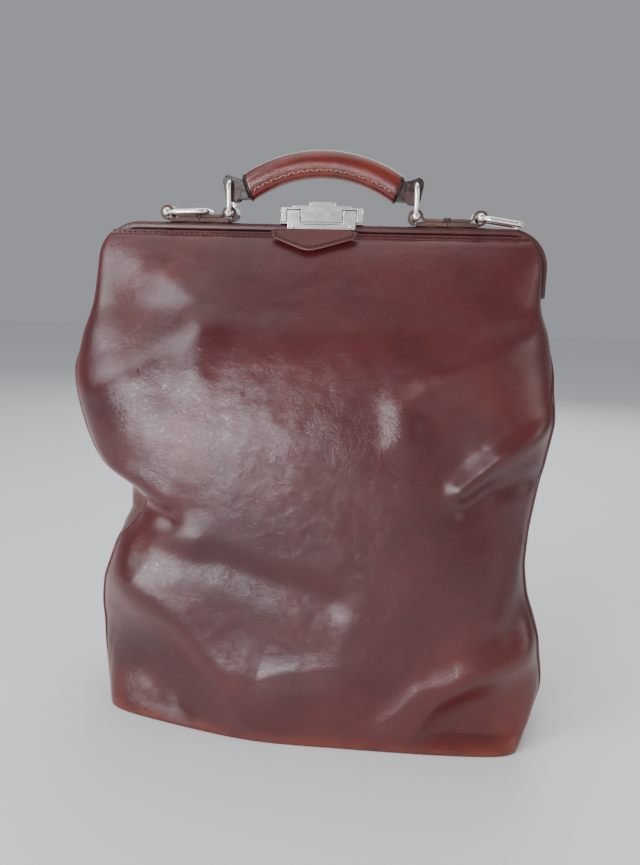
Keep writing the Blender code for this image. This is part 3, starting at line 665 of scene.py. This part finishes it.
def shaped(angle, z, inset=0.0):
    """The finished leather surface, folds included, at a direction seen from above and a height."""
    point = body_point(angle, z, inset)
    x, y = plan(angle, PLAN_POWER)
    seam = seam_angle(z)
    from_axis = min(abs(angle % pi), pi - abs(angle % pi))
    facing = smoothstep(0.35, 0.85, abs(y))
    calm = smoothstep(0.0, 0.018, z) * (1 - smoothstep(0.440, 0.466, z))
    out_front = fold_depth(point.x, z, y > 0) * facing * calm
    point.y += out_front * (1 if y > 0 else -1)
    if abs(point.y) > FULL_DEPTH:
        point.y *= (FULL_DEPTH + FULL_SOFTNESS * (abs(point.y) - FULL_DEPTH)) / abs(point.y)
    side = 1 if x >= 0 else -1
    if from_axis < seam:
        share = 0.5 * (1 + cos(pi * from_axis / seam))
        point.x -= side * (inward_right if side > 0 else inward_left)(z) * share
        rumple = noise.fractal(Vector((11.0 if point.x > 0 else 17.0, point.y * 22, z * 14)), 1.0, 2.0, 4)
        point.x += side * (0.0022 * rumple) * share * calm
    return point


# Rows close together where the leather is gathered into its flat hem.
HEM_ROWS = (
    0.4590, 0.4620, 0.4650, 0.4675, 0.4690, 0.4700, 0.4706, 0.4710, 0.4715, 0.4720, 0.4727, 0.4740, 0.4750,
)


def wall_grid(start, end, low, high, columns, rows, inset=0.0, extra=()):
    """Rows of shaped points between two seams. start and end are functions of the height."""
    grid = []
    for z in sorted(set(np.linspace(low, high, rows)) | set(extra)):
        a, b = start(z), end(z)
        grid.append([shaped(a + (b - a) * j / columns, z, inset) for j in range(columns + 1)])
    return grid


def paint_wear(obj):
    """Stores how worn the leather is: along the bottom edge and at the bottom corners."""
    layer = obj.data.attributes.new("wear", "FLOAT", "POINT")
    values = []
    for vertex in obj.data.vertices:
        x, y, z = vertex.co
        low = 1 - smoothstep(0.002, 0.016, z)
        corner = smoothstep(0.12, 0.21, abs(x)) * (1 - smoothstep(0.0, 0.06, z))
        blotch = 0.5 + 0.5 * noise.noise(Vector((x * 45, y * 45, z * 45)))
        values.append(min(1.0, (0.45 * low + 0.45 * corner) * blotch))
    layer.data.foreach_set("value", values)


def wall(name, lining_name, start, end, tops, columns, extra=(), flip=False):
    """A leather wall and the lining inside it, between two seams. tops and columns hold one for each."""
    rows = 190
    grid = wall_grid(start, end, WALL_FOOT, tops[0], columns[0], rows, extra=extra)
    hide = sheet(name, grid, LEATHER, "body", edge="tan", flip=flip)
    paint_wear(hide)
    inner = wall_grid(start, end, LINING_FOOT, tops[1], columns[1], rows // 2, LINING_INSET)
    return hide, sheet(lining_name, inner, LINING, "fabric", flip=flip)


def make_body():
    columns, side_columns = ((200, 30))
    for name, sign, body in (("front_leather", -1, "front_jaw"), ("back_leather", 1, "rear_jaw")):
        def start(z):
            return sign * seam_angle(z)

        def end(z):
            return sign * (pi - seam_angle(z))

        word = "front" if sign < 0 else "back"
        tops, counts = (HEM_TOP, LINING_TOP), (columns, columns // 2)
        obj, cloth = wall(name, f"{word}_lining", start, end, tops, counts, HEM_ROWS, sign < 0)
        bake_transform(obj)
        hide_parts(f"{word}_panel", f"{word}_panel_top")
        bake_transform(cloth)
    for name, middle in (("right", 0.0), ("left", pi)):
        def low_side(z):
            return middle - seam_angle(z)

        def high_side(z):
            return middle + seam_angle(z)

        names = (f"{name}_gusset_leather", f"{name}_gusset_lining")
        tops = (GUSSET_TOP, GUSSET_LINING_TOP)
        obj, cloth = wall(*names, low_side, high_side, tops, (side_columns, side_columns))
        settle(obj, "root", "body_leather", f"{name}_gusset")
        settle(cloth, "root", "lining_fabric")
    floor_and_board()


def flat_plan(name, z_low, z_high, inset, material):
    """A flat piece with the outline of the bag's foot."""
    count = 160
    outline = [tuple(body_point(2 * pi * k / count, 0.0, inset))[:2] for k in range(count)]
    return plate(name, outline, "Z", z_low, z_high, material, 0.0006)


def unworn(obj):
    """Gives a piece in the body's leather the wear layer that its material reads, at zero."""
    obj.data.attributes.new("wear", "FLOAT", "POINT")
    return obj


def floor_and_board():
    base = unworn(flat_plan("base_leather", 0.0, 0.0024, 0.0026, "body"))
    settle(base, "root", "body_leather", "base_panel")
    board = flat_plan("stiffener", 0.0034, 0.0062, 0.0060, "board")
    settle(board, "root", "base_board", "base_board")
    cloth = flat_plan("lining_floor", 0.0068, 0.0082, 0.0062, "fabric")
    settle(cloth, "root", "lining_fabric", "lining")


make_body()


# ---- Hem stitching and seams ----
HEM_STITCH_Z, HEM_STITCH_START = 0.4741, 0.10
PIPING_RADIUS, PIPING_FOOT, PIPING_TOP = 0.0016, 0.0030, 0.400


def hem_stitches():
    """Small dark stitches along the flat hem under each rail."""
    for word, sign, body in (("front", -1, "front_jaw"), ("back", 1, "rear_jaw")):
        turns = [sign * (HEM_STITCH_START + (pi - 2 * HEM_STITCH_START) * k / 240) for k in range(241)]
        line = [shaped(turn, HEM_STITCH_Z) + Vector((0, sign * 0.0002, 0)) for turn in turns]
        thread = stitches(f"{word}_hem_stitches", line, (0, sign, 0.15), "thread", 0.0050, 0.0030, 0.00045)
        settle(thread, body, "thread")


def gusset_piping():
    """The turned welt along each gusset seam."""
    for word, middle, sign in (("right", 0.0, 1), ("right", 0.0, -1), ("left", pi, 1), ("left", pi, -1)):
        levels = np.linspace(PIPING_FOOT, PIPING_TOP, 110)
        path = [shaped(middle + sign * seam_angle(z), z) for z in levels]
        away = "back" if (sign > 0) == (word == "right") else "front"
        piping = unworn(tube(f"{word}_{away}_piping", path, round_section(PIPING_RADIUS, 8), "body"))
        settle(piping, "root", "body_leather")


hem_stitches()
gusset_piping()


# ---- Frame ----
def u_path(half, top, bottom):
    """The frame's line: up one arm, along the rail and down the other arm."""
    radius = CORNER_RADIUS - RAIL_HALF
    reach, level = half - radius, top - radius
    left = arc((-reach, level), radius, 180, 90, 16)
    right = arc((reach, level), radius, 90, 0, 16)
    arm = [(-half, bottom + (level - bottom) * k / 8) for k in range(8)]
    bar = [(-reach + 2 * reach * k / 60, top) for k in range(1, 60)]
    far = [(half, level + (bottom - level) * k / 8) for k in range(1, 9)]
    return arm + left + bar + right + far


def make_covers():
    for word in ("front", "rear"):
        low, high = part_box(f"{word}_jaw_cover")
        middle_y, half_v = (low.y + high.y) / 2, (high.y - low.y) / 2
        path = [(x, middle_y, z) for x, z in u_path(high.x - RAIL_HALF, high.z - RAIL_HALF, low.z)]
        cover = tube(f"{word}_rail_leather", path, lambda t: oval(RAIL_HALF, half_v, 20, 3.0), "frame")
        settle(cover, f"{word}_jaw", "frame_leather", f"{word}_jaw_cover")


make_covers()


# ---- Lock ----
# Half width of the case's raised middle, height of its sides, and where the front plate begins.
LOCK_STEP, LOCK_SHOULDER, PLATE_BACK = 0.027, 0.4990, -0.0093
NOTCH_INNER, NOTCH_OUTER, NOTCH_TOP = 0.0195, 0.0330, 0.4975
SHADE_IN, SHADE_BACK, SHADE_FRONT = 0.001, PLATE_BACK - 0.0001, PLATE_BACK - 0.0004
BUTTON_DEPTH, BUTTON_PAD_DEPTH = 0.0062, 0.0044
HASP_CUT, HASP_INNER, HASP_FOOT = 0.0008, 0.0205, 0.0155
HASP_BAR_TOP, HASP_SLANT_TOP = 0.4835, 0.4858
RIVET_SIDES = 14


def lock_shell():
    """The stepped case behind, the notched plate in front, and a dark gap between them."""
    wide, bottom, top = LOCK_HIGH.x, LOCK_LOW.z, LOCK_HIGH.z
    crown = mirrored([(wide, LOCK_SHOULDER), (LOCK_STEP, LOCK_SHOULDER), (LOCK_STEP, top)])
    outline = [(-wide, bottom), (wide, bottom)] + crown
    case = plate("lock_box", outline, "Y", PLATE_BACK, LOCK_HIGH.y, "nickel", 0.0005, 4)
    settle(case, "rear_jaw", "nickel", "lock_case")
    inside = box_outline((-wide + SHADE_IN, bottom + SHADE_IN), (wide - SHADE_IN, LOCK_SHOULDER - SHADE_IN))
    shade = plate("lock_plate_shade", inside, "Y", SHADE_FRONT, SHADE_BACK, "steel", 0.0)
    settle(shade, "rear_jaw", "steel")
    notched = [(-wide, bottom), (-NOTCH_OUTER, bottom), (-NOTCH_OUTER, NOTCH_TOP), (-NOTCH_INNER, NOTCH_TOP)]
    face = mirrored([*notched, (-NOTCH_INNER, bottom)]) + crown
    front = plate("lock_front_plate", face, "Y", LOCK_LOW.y, SHADE_FRONT, "nickel", 0.00035)
    settle(front, "rear_jaw", "nickel")


def button():
    """The slide button: a thick plate, the pad on its top and the step on its front."""
    wide, low, top = BUTTON_HIGH.x, LOCK_HIGH.z + 0.0003, BUTTON_HIGH.z
    outline = box_outline((-wide, low), (wide, top - 0.0006))
    body = plate("button_plate", outline, "Y", -BUTTON_DEPTH, BUTTON_DEPTH, "nickel", 0.0007, 4)
    settle(body, "slide_button", "nickel", "slide_button")
    rim = box_outline((-wide + 0.003, -BUTTON_PAD_DEPTH), (wide - 0.003, BUTTON_PAD_DEPTH))
    settle(plate("button_pad", rim, "Z", top - 0.0008, top, "nickel", 0.0003), "slide_button", "nickel")
    step = box_outline((-wide + 0.0045, low + 0.0012), (wide - 0.0045, top - 0.0014))
    face = plate("button_face", step, "Y", -0.0066, -0.0060, "nickel", 0.0002)
    settle(face, "slide_button", "nickel")


def hasp():
    """The hasp's notched plate, and its two domed rivets."""
    wide, bottom, top, cut = HASP_HIGH.x, HASP_LOW.z, HASP_HIGH.z, HASP_CUT
    outline = [(-wide, bottom + cut), (-wide + cut, bottom), (wide - cut, bottom), (wide, bottom + cut)]
    notch = [(HASP_INNER, top), (HASP_INNER, HASP_SLANT_TOP), (HASP_FOOT, HASP_BAR_TOP)]
    outline += mirrored([(wide, top), *notch])
    obj = plate("hasp_face", outline, "Y", HASP_LOW.y, HASP_HIGH.y, "nickel", 0.0005, 4)
    settle(obj, "front_jaw", "nickel", "hasp_plate")
    profile = arc((0, 0), 1.0, 0, 90, 5)
    for side in ("left", "right"):
        low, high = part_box(f"hasp_rivet_{side}")
        x, z, radius = (low.x + high.x) / 2, (low.z + high.z) / 2, (high.x - low.x) / 2
        path = [(x, high.y + (low.y - high.y) * rise, z) for _, rise in profile]
        dome = tube(f"hasp_rivet_head_{side}", path, round_section(1, RIVET_SIDES), "nickel", UPRIGHT)
        for i, vertex in enumerate(dome.data.vertices):
            size = max(profile[i // RIVET_SIDES][0], 0.04) * radius
            vertex.co.x = x + (vertex.co.x - x) * size
            vertex.co.z = z + (vertex.co.z - z) * size
        settle(dome, "front_jaw", "steel", f"hasp_rivet_{side}")


lock_shell()
button()
hasp()


# ---- Pull tab ----
TAB_SLOPE = radians(32)
TAB_AXIS = Vector(joints["pull_tab_hinge"]["pos_m"])
# Half width, length at the point, length at the sides, how far the point is off the middle, corner radius.
TAB_HALF, TAB_LONG, TAB_SIDE, TAB_TIP, TAB_CORNER = 0.040, 0.025, 0.0105, -0.0050, 0.004
TAB_STITCH_OUT, TAB_STITCH_EDGE = 0.0024, 0.0034


def tab_bottom(u):
    """How far below the hinge line the tab's edge is, at u across it."""
    corner = TAB_HALF - abs(u)
    u -= TAB_TIP
    reach = TAB_HALF - TAB_TIP if u > 0 else TAB_HALF + TAB_TIP
    slope = (TAB_LONG - TAB_SIDE) / (0.95 * reach)
    round_tip = 0.0010 * (1 - smoothstep(0.0, 0.006, abs(u)))
    edge = TAB_LONG - slope * abs(u) - round_tip
    if corner < TAB_CORNER:
        edge -= TAB_CORNER - sqrt(max(0.0, TAB_CORNER**2 - (TAB_CORNER - corner) ** 2))
    return edge


def tab_point(u, v, out):
    """A point of the tab: u across, v down its slope, out towards the viewer."""
    curl = 0.0016 * (u / TAB_HALF) ** 2 + 0.0022 * (v / TAB_LONG) ** 2
    local = Vector((u - 0.0015, -(out + curl), -v))
    return TAB_AXIS + Matrix.Rotation(-TAB_SLOPE, 4, "X") @ local


def tab_layer(name, node, inset, out, thick):
    grid = []
    for share in (j / 16 for j in range(17)):
        row = []
        for u in np.linspace(-TAB_HALF, TAB_HALF, 70):
            w = u * (1 - inset / TAB_HALF)
            top = 0.0012 * (abs(u) / TAB_HALF) ** 4 * 3
            v = top + (tab_bottom(w) - inset - top) * share
            crown = 0.00045 * min(1.0, 6 * min(share, 1 - share))
            row.append(tab_point(w, v, out + crown))
        grid.append(row)
    settle(sheet(name, grid, thick, "tab", edge="tan", flip=True), "pull_tab", "tab_leather", node)


def make_tab():
    tab_layer("tab_front", "pull_tab", 0.0, 0.0016, 0.0015)
    tab_layer("tab_back", "pull_tab_backing", 0.0009, 0.0, 0.0013)
    line = []
    for k in range(61):
        u = -TAB_HALF + 0.0042 + (2 * TAB_HALF - 0.0084) * k / 60
        line.append(tab_point(u, tab_bottom(u) - TAB_STITCH_EDGE, TAB_STITCH_OUT))
    side = TAB_HALF - 0.0040
    left = [tab_point(-side, 0.0012 + 0.001 * k, TAB_STITCH_OUT) for k in range(5)]
    right = [tab_point(side, 0.0012 + 0.001 * k, TAB_STITCH_OUT) for k in reversed(range(5))]
    line = left + line + right
    thread = stitches("tab_stitches", line, (0, -1, -0.5), "thread", 0.0032, 0.0023, 0.00065)
    settle(thread, "pull_tab", "thread")


make_tab()


# ---- Rings ----
RING_SPAN, RING_BEND, RING_WIRE, RING_BALL = 0.0135, 0.0065, 0.0026, 0.0043
STRAP_RING_REACH = 0.038
CHAPE_TOP = 0.4913
# How far a strap ring's wire lies above what it rests on, and the gaps under it.
WIRE_LIFT, CHAPE_GAP, RAIL_GAP = 0.0024, 0.0003, 0.0006
PIN_SHAFT, PIN_SIDES = 0.00145, 14
# Places along a pin's domed head, outwards from the pin's end, and its radii there.
PIN_HEAD = ((-0.0022, 0.0015), (-0.0004, 0.0014), (0.0001, 0.0008))


def ball(name, centre, radius):
    mesh = bpy.data.meshes.new(name)
    work = bmesh.new()
    bmesh.ops.create_uvsphere(work, u_segments=28, v_segments=18, radius=radius)
    work.transform(Matrix.Translation(centre) @ Matrix.Rotation(pi / 2, 4, "X"))
    work.to_mesh(mesh)
    work.free()
    mesh.materials.append(mats["nickel"])
    mesh.shade_smooth()
    return placed(name, mesh)


def make_ring(name, pivot, toward, reach):
    """A drawn-wire U with ball ends, standing on its pin. It has the name of its body."""
    legs = [(-RING_SPAN, 0.0), (-RING_SPAN, 0.3 * reach), (-RING_SPAN, 0.6 * reach)]
    legs += arc((RING_BEND - RING_SPAN, reach - RING_BEND), RING_BEND, 180, 90, 10)
    pivot, along, across = Vector(pivot), Vector(toward).normalized(), Vector((0, 1, 0))
    path = [pivot + across * u + along * v for u, v in mirrored(legs)]
    pieces = [tube(f"{name}_wire", path, round_section(RING_WIRE, 16), "nickel", along.cross(across))]
    for k, end in enumerate((-1, 1)):
        pieces.append(ball(f"{name}_ball_{k}", pivot + across * end * RING_SPAN, RING_BALL))
    ring = joined(name + "_shown", pieces)
    ring.data.shade_smooth()
    settle(ring, name, "nickel", name)


def pin_heads(node, x):
    """The pin through a ring's balls, with small domed ends."""
    low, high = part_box(node)
    pieces = []
    for end, y in ((-1, low.y), (1, high.y)):
        path = [(x, y + end * out, PIVOT_Z) for out, _ in PIN_HEAD]
        radii = [radius for _, radius in PIN_HEAD]

        def section(t):
            return oval(radii[round(2 * t)], radii[round(2 * t)], PIN_SIDES)

        pieces.append(tube(f"{node}_{end}", path, section, "nickel", UPRIGHT))
    path = [(x, low.y + 0.002, PIVOT_Z), (x, high.y - 0.002, PIVOT_Z)]
    pieces.append(tube(f"{node}_shaft", path, round_section(PIN_SHAFT, PIN_SIDES), "nickel", UPRIGHT))
    settle(joined(f"{node}_shown", pieces), "rear_jaw", "nickel", node)


def make_rings():
    over_chape = CHAPE_TOP + CHAPE_GAP + WIRE_LIFT - PIVOT_Z
    over_rail = RAIL_TOP + RAIL_GAP + WIRE_LIFT - PIVOT_Z
    run = STRAP_RING_REACH
    make_ring("strap_ring_left", (-STRAP_X, 0, PIVOT_Z), (run, 0, over_chape), run)
    make_ring("strap_ring_right", (STRAP_X, 0, PIVOT_Z), (run, 0, over_rail), run)
    for side, sign in (("left", -1), ("right", 1)):
        make_ring(f"handle_ring_{side}", (sign * HANDLE_X, 0, PIVOT_Z), (0, 0, 1), HANDLE_Z - PIVOT_Z)
        pin_heads(f"handle_ring_pin_{side}", sign * HANDLE_X)
        pin_heads(f"strap_ring_pin_{side}", sign * STRAP_X)


make_rings()


# ---- Chapes ----
CHAPE_RADIUS, CHAPE_THICK, CHAPE_STRAP_TOP = 0.0071, 0.0024, 0.4911
CHAPE_BOTTOM = RAIL_TOP + RAIL_GAP
CHAPE_BUTT, BUTT_GAP = 0.117, 0.0003
TIE_TURNS, TIE_TOP, TIE_RADIUS = 6, 0.4915, 0.00038


def chape_line(radius, first, last, strap):
    """Round the handle ring's pin, along the strap and round the strap ring's pin."""
    near = [(HANDLE_X + x, PIVOT_Z + z) for x, z in arc((0, 0), radius, 270, first, 14)]
    far = [(STRAP_X + x, PIVOT_Z + z) for x, z in arc((0, 0), radius, last, -90, 14)]
    return [(x, z + 0.0003 * sin(210 * x)) for x, z in near + strap + far]


def make_chape(side, sign):
    """Two layers of strap folded into a loop at each end, the lower layer butted near the tie."""
    node = f"{side}_chape"
    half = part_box(node)[1].y - 0.0002
    top, below = CHAPE_STRAP_TOP, CHAPE_STRAP_TOP - CHAPE_THICK
    xs = [HANDLE_X + 0.0086 + (STRAP_X - HANDLE_X - 0.0172) * k / 18 for k in range(19)]
    outer = chape_line(CHAPE_RADIUS, 4, 176, [(x, top) for x in xs])
    inner = chape_line(CHAPE_RADIUS - CHAPE_THICK, 12, 168, [(x, below) for x in xs])
    pieces = [strip_from_outline(f"{node}_upper", outer, inner, sign, half)]
    ends = ((HANDLE_X + 0.001, CHAPE_BUTT - BUTT_GAP), (CHAPE_BUTT + BUTT_GAP, STRAP_X - 0.001))
    for k, (a, b) in enumerate(ends):
        xs = np.linspace(a, b, 12)
        lower_top = [(x, below - 0.0005 + 0.0003 * sin(210 * x)) for x in xs]
        lower_bottom = [(x, CHAPE_BOTTOM + 0.0002 * sin(260 * x)) for x in xs]
        pieces.append(strip_from_outline(f"{node}_lower_{k}", lower_top, lower_bottom, sign, half - 0.0003))
    settle(joined(f"{node}_leather", pieces), "rear_jaw", "chape_leather", node)


def strip_from_outline(name, outer, inner, sign, half):
    """A band of leather across Y between two matching lines in the XZ plane, its edges raw."""
    count = len(outer)
    widths = (-half, -half + 0.0006, half - 0.0006, half)
    points = [(sign * x, y, z) for line in (outer, inner) for y in widths for x, z in line]
    faces = []
    for row in (0, 1, 2, 4, 5, 6):
        for a in range(row * count, row * count + count - 1):
            faces.append((a, a + 1, a + count + 1, a + count))
    sheet_faces = len(faces)
    across = 4 * count
    for row in (0, 3):
        for a in range(row * count, row * count + count - 1):
            faces.append((a, a + 1, a + across + 1, a + across))
    for i in (0, count - 1):
        for a in (row * count + i for row in range(3)):
            faces.append((a, a + count, a + across + count, a + across))
    obj = new_object(name, points, faces, "dark")
    obj.data.materials.append(mats["chape"])
    for polygon in obj.data.polygons[sheet_faces:]:
        polygon.material_index = 1
    tidy_normals(obj)
    obj.data.set_sharp_from_angle(angle=radians(50))
    return obj


def make_ties():
    """Thread wound over each chape and down behind the rail."""
    top = TIE_TOP
    for side in ("left", "right"):
        low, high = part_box(f"{side}_chape_tie")
        turns = []
        for k in range(TIE_TURNS):
            x = low.x + (high.x - low.x) * (k + 0.5) / TIE_TURNS
            lean = 0.0007 * sin(2.4 * k)
            path = [(x + lean, -0.0094, top - 0.003), (x, -0.0096, top), (x, -0.0080, top + 0.0006)]
            path += [(x - lean, 0.0, top + 0.0007), (x, 0.0085, top + 0.0006), (x, 0.0100, top - 0.0002)]
            path += [(x + lean, 0.0102, top - 0.006), (x, 0.0102, low.z)]
            thread = tube(f"{side}_tie_{k}", path, round_section(TIE_RADIUS, 8), "thread", Vector((1, 0, 0)))
            turns.append(thread)
        settle(joined(f"{side}_tie_thread", turns), "rear_jaw", "thread", f"{side}_chape_tie")


for side, sign in (("left", -1), ("right", 1)):
    make_chape(side, sign)
make_ties()


# ---- Handle ----
# The grip is an arc: half its chord, the height of its ends, and its rise between them.
GRIP_CHORD, GRIP_END_Z, GRIP_RISE = 0.072, 0.516, 0.023
GRIP_RADIUS = (GRIP_CHORD**2 + GRIP_RISE**2) / (2 * GRIP_RISE)
GRIP_CENTRE = GRIP_END_Z + GRIP_RISE - GRIP_RADIUS
GRIP_LIMIT = np.arcsin(GRIP_CHORD / GRIP_RADIUS)
GRIP_HIGH, GRIP_DEEP, GRIP_SEAM_ANGLE = 0.0129, 0.0109, radians(128)
GRIP_STATIONS, GRIP_SIDES, COLLAR_SIDES = 90, 48, 40
GRIP_STITCH_END, GRIP_STITCH_ANGLE = 0.93, radians(118)
COLLAR_START, COLLAR_RUN = 0.965, 0.034
LOOP_HALF, LOOP_LAYERS, LAYER_GAP = 0.0085, 3, 0.0001


def grip_point(share, around, grow=0.0):
    """A point of the grip, at share -1 to 1 along it. around is 0 on top and 90 degrees at the front."""
    turn = GRIP_LIMIT * share
    lean = turn * (1 - 0.38 * share**2)
    centre = Vector((GRIP_RADIUS * sin(turn), 0, GRIP_CENTRE + GRIP_RADIUS * cos(turn)))
    end = max(0.0, (abs(share) - 0.955) / 0.045)
    shrink = 0.0018 * end**2
    high, deep = GRIP_HIGH - shrink + grow, GRIP_DEEP - shrink + grow
    seam = 0.0008 * float(np.exp(-(((abs(around) - GRIP_SEAM_ANGLE) / 0.10) ** 2)))
    up, out = (high - seam) * cos(around), -(deep - seam) * sin(around)
    return centre + Vector((up * sin(lean), out, up * cos(lean)))


def make_grip():
    stations, sides = GRIP_STATIONS, GRIP_SIDES
    shares = [-1 + 2 * i / stations for i in range(stations + 1)]
    points = [grip_point(share, 2 * pi * k / sides) for share in shares for k in range(sides)]
    faces = band_faces(stations + 1, sides)
    faces += [tuple(range(sides)), tuple(range(stations * sides, (stations + 1) * sides))]
    grip = new_object("grip_leather", points, faces, "grip")
    tidy_normals(grip)
    settle(grip, "handle", "grip_leather", "handle_grip", "handle_core")
    for word, sign in (("front", 1), ("back", -1)):
        shares = [GRIP_STITCH_END * (k / 60 - 1) for k in range(121)]
        line = [grip_point(share, sign * GRIP_STITCH_ANGLE, 0.0001) for share in shares]
        thread = stitches(
            f"grip_stitches_{word}", line, (0, -sign, -0.4), "pale_thread", 0.0044, 0.0040, 0.00046, slant=0.5
        )
        settle(thread, "handle", "thread")
    for word, sign in (("left", -1), ("right", 1)):
        grip_collar(word, sign)


def grip_collar(word, sign):
    """The dark band at one end of the grip."""
    shares = [sign * (COLLAR_START + COLLAR_RUN * k / 6) for k in range(7)]
    turns = [2 * pi * j / COLLAR_SIDES for j in range(COLLAR_SIDES)]
    points = [grip_point(share, turn, 0.0004) for share in shares for turn in turns]
    collar = new_object(f"grip_collar_{word}", points, band_faces(len(shares), COLLAR_SIDES), "dark")
    tidy_normals(collar)
    thick = collar.modifiers.new("Thickness", "SOLIDIFY")
    thick.thickness = 0.0006
    thick.offset = 1.0
    settle(collar, "handle", "dark_leather")


def make_loop(side, sign):
    """The strap round the ring's bar, folded down into a rounded tongue, with a flap on each side."""
    x, z = HANDLE_X, HANDLE_Z
    outline = arc((x, z), 0.0066, 75, -20, 10)
    outline += [(x + 0.0046, 0.5120), (x + 0.0040, 0.5065)]
    outline += arc((x - 0.0030, 0.5085), 0.0050, -30, -150, 8)
    outline += [(x - 0.0186, 0.5068), (x - 0.0150, 0.5160), (x - 0.0122, 0.5240), (x - 0.0060, 0.5250)]
    flipped = [(sign * u, v) for u, v in outline]
    cx, cz = (sum(values) / len(flipped) for values in zip(*flipped))
    layers = []
    cuts = np.linspace(-LOOP_HALF, LOOP_HALF, LOOP_LAYERS + 1)
    for k in range(LOOP_LAYERS):
        shrink = 0.0006 if k == 1 else 0.0
        narrow, short = 1 - shrink / 0.008, 1 - shrink / 0.010
        shape = [(cx + (u - cx) * narrow, cz + (v - cz) * short) for u, v in flipped]
        low, high = cuts[k] + LAYER_GAP, cuts[k + 1] - LAYER_GAP
        layers.append(plate(f"loop_{side}_{k}", shape, "Y", low, high, "dark", 0.0007))
    flap = [(x + 0.0030, 0.5140)] + arc((x - 0.0040, 0.5105), 0.0068, 5, -185, 12) + [(x - 0.0112, 0.5150)]
    shape = [(sign * u, v) for u, v in flap]
    for k, y in enumerate((-LOOP_HALF - 0.0004, LOOP_HALF - 0.0008)):
        layers.append(plate(f"flap_{side}_{k}", shape, "Y", y, y + 0.0012, "frame", 0.0005))
    loop = joined(f"handle_loop_{side}_leather", layers)
    settle(loop, "handle", "dark_leather", f"handle_loop_{side}")


make_grip()
for side, sign in (("left", -1), ("right", 1)):
    make_loop(side, sign)


# ---- CAD nodes that stay as they are, in steel ----
STEEL_NODES = (
    "front_jaw_bar", "rear_jaw_bar", "hinge_pin_left", "hinge_pin_right",
    "lock_base_plate", "lock_bolt", "lock_spring",
)
for name in STEEL_NODES:
    mesh = nodes[name].data
    mesh.materials.clear()
    mesh.materials.append(mats["steel"])


# ---- Studio ----
# Each light: its place, what it is aimed at, its size, its power in watts and its colour.
MIDDLE = (0, 0, 0.25)
LIGHTS = {
    "window_left": ((-1.5, -1.2, 1.4), MIDDLE, (0.8, 1.2), 25, (0.90, 0.95, 1.0)),
    "window_low": ((-0.85, -2.1, 0.42), MIDDLE, (0.50, 0.85), 34, (0.94, 0.95, 1.0)),
    "window_top": ((-0.1, 0.1, 2.1), MIDDLE, (2.4, 1.6), 17, (1.0, 0.99, 0.97)),
    "fill_right": ((1.7, -0.9, 0.9), MIDDLE, (0.8, 1.4), 8, (1.0, 0.93, 0.86)),
    "back_room": ((0.3, 1.8, 1.2), MIDDLE, (2.0, 1.2), 16, (0.96, 0.98, 1.0)),
    "room_ahead": ((0.5, -2.8, 0.75), (0, 0, 0.48), (0.9, 0.5), 2.5, (1.0, 0.98, 0.95)),
}
ROOM_COLOUR, ROOM_STRENGTH = (0.80, 0.83, 0.88, 1), 0.40
TABLE_COLOUR, TABLE_ROUGHNESS, TABLE_SIZE = (0.92, 0.92, 0.93, 1), 0.45, 6.0
# The camera's angles, distance from the bag, height above the table, step to the right and lens in mm.
TURN, PITCH, ROLL = radians(4.76), radians(11.04), radians(1.5)
CAMERA_DISTANCE, CAMERA_HEIGHT, CAMERA_STEP, LENS = 0.7655, 0.4326, 0.003, 32.46


def make_floor():
    mesh = bpy.data.meshes.new("floor")
    work = bmesh.new()
    bmesh.ops.create_grid(work, x_segments=2, y_segments=2, size=TABLE_SIZE)
    work.to_mesh(mesh)
    work.free()
    floor = placed("floor", mesh)
    floor.location.z = -0.0005
    finish = bpy.data.materials.new("floor")
    finish.use_nodes = True
    shader = finish.node_tree.nodes["Principled BSDF"]
    shader.inputs["Base Color"].default_value = TABLE_COLOUR
    shader.inputs["Roughness"].default_value = TABLE_ROUGHNESS
    mesh.materials.append(finish)


def make_lights():
    for name, (place, target, size, power, colour) in LIGHTS.items():
        data = bpy.data.lights.new(name, "AREA")
        data.shape = "RECTANGLE"
        data.size, data.size_y = size
        data.energy = power
        data.color = colour
        light = placed(name, data)
        light.location = place
        light.rotation_euler = (Vector(target) - Vector(place)).to_track_quat("-Z", "Y").to_euler()
    world = bpy.data.worlds.new("room")
    world.use_nodes = True
    shade = world.node_tree.nodes["Background"]
    shade.inputs["Color"].default_value = ROOM_COLOUR
    shade.inputs["Strength"].default_value = ROOM_STRENGTH
    bpy.context.scene.world = world


def make_camera():
    """The viewpoint: low, a little to the bag's right, looking down."""
    ahead = Vector((-sin(TURN), cos(TURN), 0))
    right = Vector((cos(TURN), sin(TURN), 0))
    look = ahead * cos(PITCH) - UPRIGHT * sin(PITCH)
    head = ahead * sin(PITCH) + UPRIGHT * cos(PITCH)
    side = right * cos(ROLL) + head * sin(ROLL)
    crown = head * cos(ROLL) - right * sin(ROLL)
    data = bpy.data.cameras.new("camera")
    data.lens = LENS
    data.clip_start = 0.01
    camera = placed("camera", data)
    place = Matrix((side, crown, -look)).transposed().to_4x4()
    place.translation = -ahead * CAMERA_DISTANCE + UPRIGHT * CAMERA_HEIGHT + right * CAMERA_STEP
    camera.matrix_world = place
    bpy.context.scene.camera = camera


make_floor()
make_lights()
make_camera()
